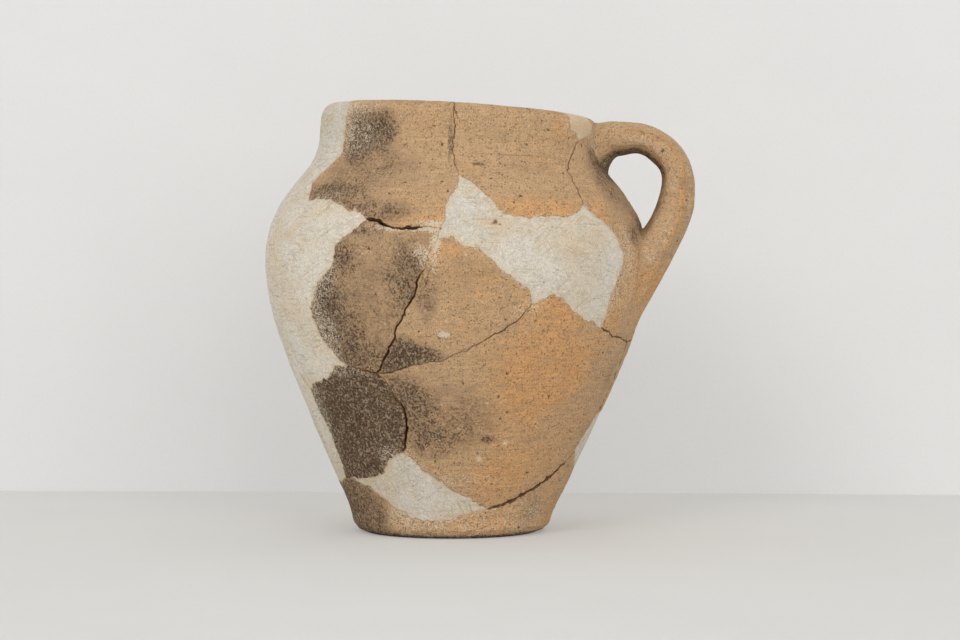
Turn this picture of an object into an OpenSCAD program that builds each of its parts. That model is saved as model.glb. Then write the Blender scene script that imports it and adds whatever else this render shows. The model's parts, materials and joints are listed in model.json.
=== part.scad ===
// Cracked mug: a one-handled, wheel-thrown earthenware mug put back together
// from its sherds, with the lost areas made good in plaster.
// Frame: the centre of the foot's resting face is the origin, +Z is up, the
// cracked side faces -Y and the handle stands out toward +X. Lengths in mm.
// Every break surface radiates from one point on the axis of the pot, so two
// neighbouring pieces share exactly the same break faces.

/* [Pot] */
// Height of the lip's crest above the foot, along the pot's own axis
pot_h = 143; // [120:1:170]
// Widest diameter, at the belly
belly_d = 130; // [110:1:150]
// Height of the belly's widest ring, as a share of the pot's height
belly_share = 0.636; // [0.6:0.002:0.67]
// Diameter where the wall meets the ground
foot_d = 65; // [52:1:76]
// Narrowest diameter of the neck
neck_d = 94.5; // [84:0.5:104]
// Lean of the pot's axis toward the handle, degrees
lean = 1.2; // [0:0.1:2.5]

/* [Wall] */
// Thickness of the side wall
wall_t = 5.6; // [4.5:0.1:7]
// Thickness of the floor at its centre
floor_t = 7.5; // [6:0.1:10]

/* [Handle] */
// Direction of the handle around the pot, degrees from the front
handle_az = 85; // [80:1:92]
// Reach of the handle's outer side from the axis
handle_reach = 81.5; // [76:0.5:90]
// Height of the handle's upper centre line, below the lip's crest
handle_drop = 8.5; // [7:0.5:12]
// Thickness of the handle, measured in the plane it bends in
handle_t = 12.6; // [10:0.1:15]
// Width of the handle across that plane
handle_w = 19; // [15:0.5:24]
// Radius of the tight upper bend, at the centre line
bend_r = 15; // [12:0.5:18]
// Radius of the long side bend, at the centre line
side_r = 30.5; // [26:0.5:36]
// Turn of the handle at the end of the tight bend, degrees
bend_turn = 88; // [80:1:92]
// Turn of the handle where it runs straight down into the wall, degrees
side_turn = 115; // [110:1:120]

/* [Hidden] */
$fn = 96;
hs = pot_h / 143;
belly_z = belly_share * pot_h;
neck_z = pot_h - 9;
foot_r = foot_d / 2;
belly_r = belly_d / 2;
neck_r = neck_d / 2;
lip_r = neck_r - 4;
// Point on the axis that every break surface radiates from
heart_z = 75 * hs;
// A height well above the lip, in the direction break lines leave it
above = 220;
// Reach of the wedges that take one piece out of the whole wall
far = 600;

// Lower wall: share of the height up to the belly, share of the widening
lower_curve = [
    [-0.03, -0.022], [0, 0], [0.09, 0.072], [0.24, 0.268], [0.44, 0.52],
    [0.66, 0.782], [0.835, 0.94], [1, 1]
];
// Shoulder: share of the height from belly to neck, share of the narrowing
upper_curve = [
    [0.21, 0.06], [0.41, 0.24], [0.6, 0.545], [0.76, 0.85], [0.9, 0.98], [1, 1]
];
knots = concat(
    [for (c = lower_curve) [c[0] * belly_z, foot_r + c[1] * (belly_r - foot_r)]],
    [for (c = upper_curve) [
        belly_z + c[0] * (neck_z - belly_z),
        belly_r + c[1] * (neck_r - belly_r)
    ]],
    [[pot_h, neck_r - 0.4]]
);
last = len(knots) - 1;

function span(z, i = 0) = (i >= last - 1 || z < knots[i + 1][0]) ? i : span(z, i + 1);
function slope(i) =
    let (a = max(i - 1, 0), b = min(i + 1, last))
    (knots[b][1] - knots[a][1]) / (knots[b][0] - knots[a][0]);
// Radius of the outer wall at a height, a smooth curve through the knots
function radius_at(z) =
    let (
        i = span(z),
        d = knots[i + 1][0] - knots[i][0],
        t = min(max((z - knots[i][0]) / d, 0), 1)
    )
    (2 * t * t * t - 3 * t * t + 1) * knots[i][1]
    + (t * t * t - 2 * t * t + t) * d * slope(i)
    + (3 * t * t - 2 * t * t * t) * knots[i + 1][1]
    + (t * t * t - t * t) * d * slope(i + 1);

lip_z = pot_h - 4.6;
outer_wall = [for (i = [0:23]) let (z = -2 + i * (lip_z + 2) / 23) [radius_at(z), z]];
lip_out = [
    [neck_r - 0.9, pot_h - 2.7], [neck_r - 2.4, pot_h - 1], [lip_r, pot_h - 0.1]
];
lip_in = [
    [lip_r - 1.6, pot_h - 0.4], [lip_r - 2.6, pot_h - 1.6]
];
inner_low = floor_t + 8;
inner_wall = [
    for (i = [0:19])
    let (z = inner_low + i * (pot_h - 7 - inner_low) / 19)
    [radius_at(z) - wall_t, z]
];
inner_floor = [
    [0, floor_t], [foot_r - 12, floor_t + 0.6], [foot_r - 7.5, floor_t + 2.2],
    [foot_r - 4.6, floor_t + 5]
];

// ---- Break lines. Each point is an azimuth in degrees from the front, toward
// the handle, and a height in mm up the pot. Lines that meet share an end point.
crest = above / hs;
// Left edge of the left rim sherd, lip down to its lower corner
a_left = [
    [-52, crest], [-51, 138], [-52, 133], [-51.5, 126], [-55.5, 122], [-56.5, 116], [-54, 110]
];
// Its lower edge against plaster, then against the body sherd, then plaster
a_low = [[-54, 110], [-44, 110.4], [-39, 109.2], [-35, 107.2], [-30, 106], [-27, 103.8]];
a_d = [[-27, 103.8], [-23, 103.3], [-20, 101.8], [-14, 101.5], [-9, 101.7], [-4.5, 101.3]];
a_fill = [[-4.5, 101.3], [-2.8, 104], [-2.4, 110], [-0.3, 113], [0.7, 118.4]];
// Crack up through the neck to the lip
a_b = [[0.7, 118.4], [-1.2, 122.3], [-1.7, 127], [-1.6, 133], [-1.2, crest]];
// Lower edge of the middle rim sherd
b_fill = [
    [0.7, 118.4], [5.6, 115.8], [8.7, 112.6], [14.4, 106], [21, 105.4], [27, 105.4],
    [31.7, 106.4], [35, 105.6], [39, 107.3], [42.6, 110]
];
// Crack between the middle rim sherd and the handle sherd
b_c = [[42.6, 110], [43.5, 115], [44.2, 121.3], [47.6, 125], [51.2, 128.5], [57.4, 133]];
// Both sides of the little plaster patch at the lip
b_patch = [[57.4, 133], [53.5, 135], [50.8, 137.2], [51, crest]];
c_patch = [[57.4, 133], [64, 134.3], [69.5, 136.5], [72, crest]];
// Handle sherd against the shoulder plaster, the lower sherd and the back
c_fill = [
    [42.6, 110], [46.6, 106.2], [50, 104.7], [53.4, 102], [57, 95], [57, 91.5],
    [54, 84.7], [51.3, 76.3], [51, 70.4]
];
c_f = [[51, 70.4], [54, 70], [59, 68], [65.5, 67], [74, 65.5]];
c_back = [
    [74, 65.5], [86, 66.8], [98, 70], [112, 75], [116, 86], [110, 98], [119, 112],
    [124, 126], [122, crest]
];
// Body sherds round the middle of the pot
d_fill = [[-4.5, 101.3], [-5, 97.5]];
d_e = [
    [-5, 97.5], [-6.1, 95.3], [-8, 88], [-11.5, 79.5], [-14.2, 75], [-18.4, 65],
    [-21.7, 60.4], [-25.7, 54.7]
];
d_left = [
    [-27, 103.8], [-32.3, 99], [-36.3, 95], [-38, 88], [-41.7, 84.5], [-45, 80.5],
    [-47.8, 75], [-46, 67], [-44, 62.8], [-36.8, 56.7]
];
d_g = [[-36.8, 56.7], [-31.5, 55.4], [-25.7, 54.7]];
e_fill = [
    [-5, 97.5], [-0.7, 98.3], [2, 96.5], [8, 94], [10.4, 91.7], [12.5, 88.5],
    [19, 83.6], [21.9, 81.4], [22.6, 77.8]
];
e_f = [
    [-25.7, 54.7], [-21.6, 54.9], [-14, 57.5], [-4.5, 59.3], [4.2, 63], [14, 68.8],
    [18.8, 72], [22.6, 77.8]
];
f_fill = [[22.6, 77.8], [29.4, 81], [32.6, 79.7], [35, 77.4], [41.6, 73.2], [51, 70.4]];
f_g = [
    [-25.7, 54.7], [-22.9, 52.4], [-20.8, 46.6], [-18.1, 43.3], [-17, 39.4], [-18, 35.5],
    [-20.7, 28.8]
];
f_back = [[76, 42], [77, 52], [75.8, 59], [74, 65.5]];
f_right = [[66, 29], [71, 37], [76, 42]];
// Lower sherds against the base and the plaster beside it
g_left = [
    [-36.8, 56.7], [-42.5, 56.7], [-44, 54.2], [-48, 52], [-57, 50.6], [-63.4, 48],
    [-63, 41.4], [-61, 35], [-60, 26], [-63, 18.5]
];
g_h = [[-63, 18.5], [-56, 19]];
g_foot = [
    [-56, 19], [-46, 18.7], [-37.4, 19.6], [-32.7, 21], [-28.7, 25.5], [-24.3, 27.3],
    [-20.7, 28.8]
];
f_foot = [[-20.7, 28.8], [-11.6, 22.5], [1, 17], [7.7, 15], [19.9, 10.4]];
h_foot = [
    [-56, 19], [-50.6, 17.2], [-43.8, 16], [-39.3, 13.9], [-27.3, 8.7], [-21.8, 6.4],
    [-14, 5.8], [-4.3, 6.2], [3.2, 7.4], [19.9, 10.4]
];
f_h = [
    [19.9, 10.4], [27, 11.2], [32.3, 12.8], [38.7, 14.7], [44, 17.3], [50.8, 19.4],
    [56.7, 22], [66, 29]
];
right_h = [[66, 29], [74, 25], [84, 20.5], [93, 19], [100, 18]];
right_back = [[100, 18], [103, 26], [98, 35], [90, 41], [83, 43], [76, 42]];
back_h = [
    [100, 18], [120, 20], [140, 16], [160, 19], [180, 15], [200, 18], [222, 16],
    [238, 18], [250, 17]
];
left_h = [[250, 17], [262, 15], [275, 17], [286, 16.5], [297, 18.5]];
left_back = [
    [250, 17], [248, 28], [252, 45], [245, 70], [254, 92], [248, 110], [256, 128], [252, crest]
];

function back(line) = [for (i = [len(line) - 1:-1:0]) line[i]];
// A point far out along the ray through an azimuth and a height on the wall
function ray(p) =
    let (
        z = p[1] * hs,
        r = radius_at(min(z, pot_h - 4)),
        v = [r * sin(p[0]), -r * cos(p[0]), z - heart_z]
    )
    [0, 0, heart_z] + far * v / norm(v);

// The wedge of space inside a closed loop of break lines, seen from the axis.
// The loop runs anticlockwise seen from outside, the middle lies inside it.
module wedge(lines, middle) {
    loop = [for (line = lines) for (i = [0:len(line) - 2]) ray(line[i])];
    n = len(loop);
    polyhedron(
        points = concat([[0, 0, heart_z], middle], loop),
        faces = [
            for (i = [0:n - 1])
            for (f = [[0, 2 + i, 2 + (i + 1) % n], [1, 2 + (i + 1) % n, 2 + i]]) f
        ]
    );
}

module outer_solid() {
    rotate_extrude()
        polygon(concat([[0, -2]], outer_wall, lip_out, [[lip_r - 0.6, pot_h], [0, pot_h]]));
}

module cavity() {
    rotate_extrude()
        polygon(concat(
            inner_floor, inner_wall, back(lip_in), [[lip_r - 0.6, pot_h], [lip_r, pot_h + 20]],
            [[0, pot_h + 20]]
        ));
}

// One piece of the pot: wedge of the solid pot, less the inside, leaned over
module piece(lines, middle) {
    rotate([0, lean, 0])
        difference() {
            intersection() {
                outer_solid();
                wedge(lines, ray(middle));
            }
            cavity();
        }
}

// ---- Handle, an oval rod swept in its own plane: x outward, y up
function oval() = [
    for (i = [0:13])
    let (t = (i + 0.5) * 360 / 14)
    [handle_t / 2 * cos(t), handle_w / 2 * sin(t)]
];
handle_z = pot_h - handle_drop;
root_s = handle_reach - handle_t / 2 - bend_r;
side_s = root_s + bend_r * sin(bend_turn) - side_r * sin(bend_turn);
side_z = handle_z - bend_r + (bend_r - side_r) * cos(bend_turn);
tail_s = side_s + side_r * sin(side_turn);
tail_z = side_z + side_r * cos(side_turn);
root_len = root_s - (neck_r - 3.6);
tail_len = 46 * hs;

// A bend of the handle about a level line at (s, z), radius r, turning a to b
module bend(s, z, r, a, b) {
    translate([s, 0, z])
        rotate([90, b - 90, 0])
            rotate_extrude(angle = b - a)
                translate([r, 0])
                    polygon(oval());
}

// A straight length of the handle from (s, z), heading turned from level
module straight(s, z, turned, length) {
    translate([s, 0, z])
        rotate([0, 90 + turned, 0])
            linear_extrude(length)
                polygon(oval());
}

// A hair-thin swelling that closes the joint between two lengths
module knuckle(s, z, turned) {
    translate([s, 0, z])
        rotate([0, 90 + turned, 0])
            linear_extrude(0.8, center = true)
                polygon(1.012 * oval());
}

module handle_rod() {
    straight(root_s - root_len, handle_z, 0, root_len);
    knuckle(root_s, handle_z, 0);
    bend(root_s, handle_z - bend_r, bend_r, 0, bend_turn);
    knuckle(
        root_s + bend_r * sin(bend_turn), handle_z - bend_r + bend_r * cos(bend_turn), bend_turn
    );
    bend(side_s, side_z, side_r, bend_turn, side_turn);
    knuckle(tail_s, tail_z, side_turn);
    straight(tail_s, tail_z, side_turn, tail_len);
}

// ---- The pieces
// Left rim sherd, sooted near its outer edge
module rim_sherd_left() {
    color([0.5, 0.38, 0.28])
        piece(
            [a_low, a_d, a_fill, a_b, [[-1.2, crest], [-52, crest]], a_left],
            [-25, 122]
        );
}

// Middle rim sherd
module rim_sherd_middle() {
    color([0.66, 0.46, 0.3])
        piece(
            [b_fill, b_c, b_patch, [[51, crest], [-1.2, crest]], back(a_b)],
            [25, 122]
        );
}

// Rim and shoulder sherd with the handle, fired as one with it
module handle_sherd() {
    color([0.7, 0.5, 0.33])
        rotate([0, lean, 0])
            difference() {
                intersection() {
                    union() {
                        outer_solid();
                        rotate([0, 0, handle_az - 90]) handle_rod();
                    }
                    wedge(
                        [c_f, c_back, [[122, crest], [72, crest]], back(c_patch), back(b_c), c_fill],
                        ray([85, 100])
                    );
                }
                cavity();
            }
}

// Sooted body sherd on the left
module body_sherd_left() {
    color([0.36, 0.3, 0.26])
        piece([d_g, back(d_e), back(d_fill), back(a_d), d_left], [-28, 78]);
}

// Body sherd in the middle, below the shoulder plaster
module body_sherd_middle() {
    color([0.6, 0.44, 0.3])
        piece([e_f, back(e_fill), d_e], [0, 78]);
}

// Largest visible sherd, lower right
module lower_sherd_right() {
    color([0.68, 0.48, 0.32])
        piece(
            [f_foot, f_h, f_right, f_back, back(c_f), back(f_fill), back(e_f), f_g],
            [20, 46]
        );
}

// Blackened sherd, lower left
module lower_sherd_left() {
    color([0.22, 0.2, 0.19])
        piece([g_h, g_foot, back(f_g), back(d_g), g_left], [-42, 36]);
}

// Base sherd: the whole foot and floor, cut level where it stands
module base_sherd() {
    color([0.62, 0.45, 0.31])
        difference() {
            piece(
                [
                    back(left_h), back(back_h), back(right_h), back(f_h), back(h_foot),
                    back(g_h)
                ],
                [0, -far]
            );
            translate([0, 0, -20])
                cube([200, 200, 40], center = true);
        }
}

// Large sherd of the far side, from lip to base
module back_sherd() {
    color([0.62, 0.46, 0.32])
        piece(
            [
                back_h, left_back, [[252, crest], [122, crest]], back(c_back), back(f_back),
                back(right_back)
            ],
            [163, 76]
        );
}

// Plaster fill of the whole left side
module fill_left() {
    color([0.84, 0.8, 0.7])
        piece(
            [
                left_h, back(g_left), back(d_left), back(a_low), back(a_left),
                [[-52, crest], [252, crest]], back(left_back)
            ],
            [-80, 83]
        );
}

// Plaster fill across the shoulder
module fill_shoulder() {
    color([0.86, 0.83, 0.75])
        piece(
            [e_fill, f_fill, back(c_fill), back(b_fill), back(a_fill), d_fill],
            [20, 97]
        );
}

// Plaster fill above the base
module fill_foot() {
    color([0.85, 0.8, 0.69])
        piece([h_foot, back(f_foot), back(g_foot)], [-30, 17]);
}

// Plaster fill low on the right, beyond the long crack
module fill_right() {
    color([0.82, 0.77, 0.66])
        piece([right_h, right_back, back(f_right)], [82, 31]);
}

// Small plaster patch at the lip beside the handle
module fill_rim_patch() {
    color([0.8, 0.72, 0.62])
        piece([c_patch, [[72, crest], [51, crest]], back(b_patch)], [61, 140]);
}

rim_sherd_left();
rim_sherd_middle();
handle_sherd();
body_sherd_left();
body_sherd_middle();
lower_sherd_right();
lower_sherd_left();
base_sherd();
back_sherd();
fill_left();
fill_shoulder();
fill_foot();
fill_right();
fill_rim_patch();
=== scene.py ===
"""Cracked mug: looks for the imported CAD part, in the same frame, in metres.

Every sherd and plaster fill is rebuilt as a fine closed mesh over its CAD node:
break lines in (azimuth, height) are roughened, each piece is triangulated over
the pot's surface, displaced like thrown clay or rubbed plaster, and given an
inner face and broken edges. Lengths below are millimetres until MM turns them
into metres; azimuth is in degrees from the front, toward the handle.
"""
import json
import math

import bpy
import numpy as np
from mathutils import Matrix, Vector
from mathutils.geometry import delaunay_2d_cdt


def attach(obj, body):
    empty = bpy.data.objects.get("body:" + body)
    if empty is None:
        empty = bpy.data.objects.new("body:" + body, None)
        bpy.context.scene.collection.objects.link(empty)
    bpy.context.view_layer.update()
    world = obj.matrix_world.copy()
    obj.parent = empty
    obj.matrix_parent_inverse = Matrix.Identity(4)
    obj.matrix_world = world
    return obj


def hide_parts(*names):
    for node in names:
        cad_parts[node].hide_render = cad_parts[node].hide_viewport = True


MM = 0.001
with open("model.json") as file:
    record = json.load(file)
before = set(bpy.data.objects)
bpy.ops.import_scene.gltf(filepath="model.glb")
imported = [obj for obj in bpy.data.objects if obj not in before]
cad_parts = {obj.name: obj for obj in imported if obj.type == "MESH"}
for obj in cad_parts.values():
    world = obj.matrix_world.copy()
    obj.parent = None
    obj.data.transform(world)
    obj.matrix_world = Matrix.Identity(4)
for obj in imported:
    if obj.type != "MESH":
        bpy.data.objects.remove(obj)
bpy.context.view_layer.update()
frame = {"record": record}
SLOTS = {n["node"]: n["material_slot"] for n in frame["record"]["subparts"]}

# ---- Sizes of the pot, as in the CAD
POT_H = 143.0
BELLY_R = 65.0
FOOT_R = 32.5
NECK_R = 47.25
BELLY_Z = 0.636 * POT_H
NECK_Z = POT_H - 9
WALL_T = 5.6
FLOOR_T = 7.5
LEAN = math.radians(1.2)
HEART_Z = 75.0
HEART_AXIS = np.array([0, 0, HEART_Z])
RIM_SLOPE, RIM_DROP = -0.037, 0.7

LOWER_CURVE = [
    (-0.03, -0.022), (0, 0), (0.09, 0.072), (0.24, 0.268), (0.44, 0.52),
    (0.66, 0.782), (0.835, 0.94), (1, 1),
]
UPPER_CURVE = [(0.21, 0.06), (0.41, 0.24), (0.6, 0.545), (0.76, 0.85), (0.9, 0.98), (1, 1)]
KNOTS = np.array(
    [(a * BELLY_Z, FOOT_R + b * (BELLY_R - FOOT_R)) for a, b in LOWER_CURVE]
    + [(BELLY_Z + a * (NECK_Z - BELLY_Z), BELLY_R + b * (NECK_R - BELLY_R)) for a, b in UPPER_CURVE]
    + [(POT_H, NECK_R - 0.4)]
)


def hermite(p0, m0, p1, m1, t):
    """A smooth step from p0 to p1 that leaves with slope m0 and arrives with slope m1."""
    return (
        (2 * t**3 - 3 * t**2 + 1) * p0 + (t**3 - 2 * t**2 + t) * m0
        + (3 * t**2 - 2 * t**3) * p1 + (t**3 - t**2) * m1
    )


def outer_r(z):
    """Radius of the outer wall at a height: a smooth curve through KNOTS."""
    z = np.asarray(z, float)
    kz, kr = KNOTS[:, 0], KNOTS[:, 1]
    slope = np.gradient(kr, kz)
    slope[1:-1] = (kr[2:] - kr[:-2]) / (kz[2:] - kz[:-2])
    i = np.clip(np.searchsorted(kz, z, side="right") - 1, 0, len(kz) - 2)
    d = kz[i + 1] - kz[i]
    t = np.clip((z - kz[i]) / d, 0, 1)
    return hermite(kr[i], d * slope[i], kr[i + 1], d * slope[i + 1], t)


def smooth_curve(points, step=0.2):
    """A dense Catmull-Rom curve through the points, even in arc length."""
    p = np.array(points, float)
    p = np.vstack([2 * p[0] - p[1], p, 2 * p[-1] - p[-2]])
    out = []
    for a, b, c, d in zip(p[:-3], p[1:-2], p[2:-1], p[3:]):
        for t in np.arange(0, 1, 0.1):
            out.append(
                0.5 * (2 * b + (c - a) * t + (2 * a - 5 * b + 4 * c - d) * t**2
                       + (3 * b - a - 3 * c + d) * t**3)
            )
    out.append(p[-2])
    out = np.array(out)
    length = np.r_[0, np.cumsum(np.hypot(*np.diff(out, axis=0).T))]
    at = np.linspace(0, length[-1], int(length[-1] / step) + 1)
    return at, np.interp(at, length, out[:, 0]), np.interp(at, length, out[:, 1])


# Section of the pot: underside, foot, outer wall and lip, then back down inside
LIP_Z = POT_H - 5
under = [(0, 0.0), (8, 0), (16, 0), (24, 0), (29.2, 0), (30.5, 0.3), (31.7, 1.2)]
wall_out = [(float(outer_r(z)), z) for z in np.arange(3.0, LIP_Z - 1, 2.5)]
lip = [
    (NECK_R - 4.1 + 3.95 * math.cos(math.radians(a)), LIP_Z + 4.9 * math.sin(math.radians(a)))
    for a in (5, 22, 40, 57, 73, 88)
] + [
    (NECK_R - 4.1 - 1.75 * math.sin(math.radians(a)), LIP_Z + 1.9 + 3.0 * math.cos(math.radians(a)))
    for a in (22, 45, 70, 92)
]
wall_in = [(float(outer_r(z)) - WALL_T, z) for z in np.arange(LIP_Z - 3.5, FLOOR_T + 8, -3.0)]
floor_in = [
    (FOOT_R - 2.6, FLOOR_T + 6.8), (FOOT_R - 5.2, FLOOR_T + 4), (FOOT_R - 8.5, FLOOR_T + 1.9),
    (FOOT_R - 13, FLOOR_T + 0.7), (9, FLOOR_T), (0, FLOOR_T),
]
SEC_S, SEC_R, SEC_Z = smooth_curve(under + wall_out + lip + wall_in + floor_in)
SEC_PHI = np.arctan2(SEC_Z - HEART_Z, SEC_R)
TOP = int(np.argmax(SEC_PHI))
OUT_S, OUT_R, OUT_Z = SEC_S[: TOP + 1], SEC_R[: TOP + 1], SEC_Z[: TOP + 1]
OUT_PHI = np.maximum.accumulate(SEC_PHI[: TOP + 1])
IN_R, IN_Z = SEC_R[TOP:][::-1], SEC_Z[TOP:][::-1]
IN_PHI = np.maximum.accumulate(SEC_PHI[TOP:][::-1])
S_END = OUT_S[-1]
FOOT_S = float(np.interp(FOOT_R - 1, OUT_R[: len(OUT_R) // 3], OUT_S[: len(OUT_R) // 3]))
TAN_R = np.gradient(OUT_R, OUT_S)
TAN_Z = np.gradient(OUT_Z, OUT_S)
Z_OF_WALL = OUT_Z + np.linspace(0, 1e-6, len(OUT_Z))


def s_at(z):
    """Arc length along the outer section at a height on the wall."""
    k = OUT_S > FOOT_S
    return np.interp(z, Z_OF_WALL[k], OUT_S[k])


def on_outer(az, s):
    """Points and normals of the outer surface, in the pot's own frame."""
    r, z = np.interp(s, OUT_S, OUT_R), np.interp(s, OUT_S, OUT_Z)
    tr, tz = np.interp(s, OUT_S, TAN_R), np.interp(s, OUT_S, TAN_Z)
    n = np.hypot(tr, tz)
    nr, nz = tz / n, -tr / n
    sa, ca = np.sin(az), np.cos(az)
    return np.c_[r * sa, -r * ca, z], np.c_[nr * sa, -nr * ca, nz]


def on_inner(az, s):
    """Points of the inner surface on the rays from the heart through the outer ones."""
    phi = np.interp(s, OUT_S, OUT_PHI)
    r, z = np.interp(phi, IN_PHI, IN_R), np.interp(phi, IN_PHI, IN_Z)
    return np.c_[r * np.sin(az), -r * np.cos(az), z]


# ---- Noise
def hashed(ix, iy, iz, seed):
    """A number from 0 to 1 that depends only on three whole numbers and the seed."""
    h = (ix * 374761393 + iy * 668265263 + iz * 2147483647 + seed * 1274126177) & 0xFFFFFFFF
    h = ((h ^ (h >> 13)) * 1274126177) & 0xFFFFFFFF
    return ((h ^ (h >> 16)) & 0xFFFFFF) / float(0xFFFFFF)


def noise(p, seed=0):
    """Smooth value noise from -1 to 1 at points in units of its grain."""
    p = np.asarray(p, float) + 517.3
    i = np.floor(p).astype(np.int64)
    f = p - i
    f = f * f * (3 - 2 * f)
    total = 0
    for dx in (0, 1):
        for dy in (0, 1):
            for dz in (0, 1):
                w = (
                    (f[:, 0] if dx else 1 - f[:, 0])
                    * (f[:, 1] if dy else 1 - f[:, 1])
                    * (f[:, 2] if dz else 1 - f[:, 2])
                )
                total = total + w * hashed(i[:, 0] + dx, i[:, 1] + dy, i[:, 2] + dz, seed)
    return total * 2 - 1


def line_noise(t, seed):
    """Smooth noise from -1 to 1 along a line."""
    return noise(np.c_[t, np.full_like(t, 0.37), np.full_like(t, 0.61)], seed)


def ramp(x, lo, hi):
    """0 below lo, 1 above hi, and a soft step between."""
    t = np.clip((x - lo) / (hi - lo), 0, 1)
    return t * t * (3 - 2 * t)


# ---- Break lines, as in the CAD: (azimuth, height), None for the top of the lip
LINES = {
    "a_left": [(-52, None), (-51, 138), (-52, 133), (-51.5, 126), (-55.5, 122), (-57, 116), (-54, 110)],
    "a_low": [
        (-54, 110), (-49, 110.8), (-44, 110.4), (-39, 109.2), (-35, 107.2), (-30, 106), (-27, 103.8),
    ],
    "a_d": [
        (-27, 103.8), (-23, 103.3), (-20, 101.8), (-17.5, 101), (-14, 101.5), (-11.5, 101), (-9, 101.7),
        (-4.5, 101.3),
    ],
    "a_fill": [(-4.5, 101.3), (-2.8, 104), (-2.4, 110), (-0.3, 113), (0.7, 118.4)],
    "a_b": [(0.7, 118.4), (-1.2, 122.3), (-1.7, 127), (-1.6, 133), (-1.2, None)],
    "b_fill": [
        (0.7, 118.4), (5.6, 115.8), (8.7, 112.6), (11.6, 109.3), (14.4, 106), (17, 105), (21, 105.5),
        (27, 105.4), (31.7, 106.4), (35, 105.6), (39, 107.3), (42.6, 110),
    ],
    "b_c": [(42.6, 110), (43.5, 115), (44.2, 121.3), (47.6, 125), (51.2, 128.5), (57.4, 133)],
    "b_patch": [(57.4, 133), (53.5, 135), (50.8, 137.2), (51, None)],
    "c_patch": [(57.4, 133), (64, 134.3), (69.5, 136.5), (72, None)],
    "c_fill": [
        (42.6, 110), (46.6, 106.2), (50, 104.7), (53.4, 102), (55.2, 98.7), (57, 95), (57, 91.5),
        (55.6, 88.7), (54, 84.7), (52.4, 80.7), (51.3, 76.3), (51, 70.4),
    ],
    "c_f": [(51, 70.4), (54, 70), (59, 68), (65.5, 67), (74, 65.5)],
    "c_back": [
        (74, 65.5), (86, 66.8), (98, 70), (112, 75), (116, 86), (110, 98), (119, 112), (124, 126),
        (122, None),
    ],
    "d_fill": [(-4.5, 101.3), (-5, 97.5)],
    "d_e": [
        (-5, 97.5), (-6.1, 95.3), (-7.6, 92), (-8, 88), (-10.3, 84.7), (-11.5, 79.5), (-14.2, 75),
        (-16.6, 70), (-18.4, 65), (-21.7, 60.4), (-25.7, 54.7),
    ],
    "d_left": [
        (-27, 103.8), (-28.3, 101.7), (-32.3, 99), (-36.3, 95), (-37.2, 92), (-38, 88), (-41.7, 84.5),
        (-45, 80.5), (-47.8, 75), (-48, 71.5), (-46, 67), (-44, 62.8), (-41.3, 59.8), (-36.8, 56.7),
    ],
    "d_g": [(-36.8, 56.7), (-31.5, 55.4), (-25.7, 54.7)],
    "e_fill": [
        (-5, 97.5), (-0.7, 98.3), (2, 96.5), (5, 95), (8, 94), (10.4, 91.7), (12.5, 88.5), (15.5, 86.2),
        (19, 83.6), (21.9, 81.4), (22.6, 77.8),
    ],
    "e_f": [
        (-25.7, 54.7), (-21.6, 54.9), (-17.5, 56.3), (-14, 57.5), (-10.3, 58.3), (-4.5, 59.3), (0, 61.2),
        (4.2, 63), (9.2, 65.7), (14, 68.8), (18.8, 72), (22.6, 77.8),
    ],
    "f_fill": [
        (22.6, 77.8), (25.8, 79.1), (29.4, 81), (32.6, 79.7), (35, 77.4), (38.2, 75.1), (41.6, 73.2),
        (48, 71), (51, 70.4),
    ],
    "f_g": [
        (-25.7, 54.7), (-22.9, 52.4), (-20.8, 46.6), (-18.1, 43.3), (-17, 39.4), (-18, 35.5),
        (-20.7, 28.8),
    ],
    "f_back": [(76, 42), (77, 52), (75.8, 59), (74, 65.5)],
    "f_right": [(66, 29), (71, 37), (76, 42)],
    "g_left": [
        (-36.8, 56.7), (-42.5, 56.7), (-44, 54.2), (-48, 52), (-57, 50.6), (-63.4, 48), (-63, 41.4),
        (-61, 35), (-60, 26), (-63, 18.5),
    ],
    "g_h": [(-63, 18.5), (-56, 19)],
    "g_foot": [
        (-56, 19), (-46, 18.7), (-37.4, 19.6), (-32.7, 21), (-28.7, 25.5), (-24.3, 27.3), (-20.7, 28.8),
    ],
    "f_foot": [
        (-20.7, 28.8), (-17.3, 26.4), (-11.6, 22.5), (-5.5, 19.8), (1, 17), (7.7, 15), (15.2, 12.4),
        (19.9, 10.4),
    ],
    "h_foot": [
        (-56, 19), (-50.6, 17.2), (-43.8, 16), (-39.3, 13.9), (-32.8, 11.3), (-27.3, 8.7), (-21.8, 6.4),
        (-14, 5.8), (-4.3, 6.2), (3.2, 7.4), (12.2, 9.2), (19.9, 10.4),
    ],
    "f_h": [
        (19.9, 10.4), (27, 11.2), (32.3, 12.8), (38.7, 14.7), (44, 17.3), (50.8, 19.4), (56.7, 22),
        (62.4, 25.4), (66, 29),
    ],
    "right_h": [(66, 29), (74, 25), (84, 20.5), (93, 19), (100, 18)],
    "right_back": [(100, 18), (103, 26), (98, 35), (90, 41), (83, 43), (76, 42)],
    "back_h": [
        (100, 18), (120, 20), (140, 16), (160, 19), (180, 15), (200, 18), (222, 16), (238, 18), (250, 17),
    ],
    "left_h": [(250, 17), (262, 15), (275, 17), (286, 16.5), (297, 18.5)],
    "left_back": [
        (250, 17), (248, 28), (252, 45), (245, 70), (254, 92), (248, 110), (256, 128), (252, None),
    ],
}
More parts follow.
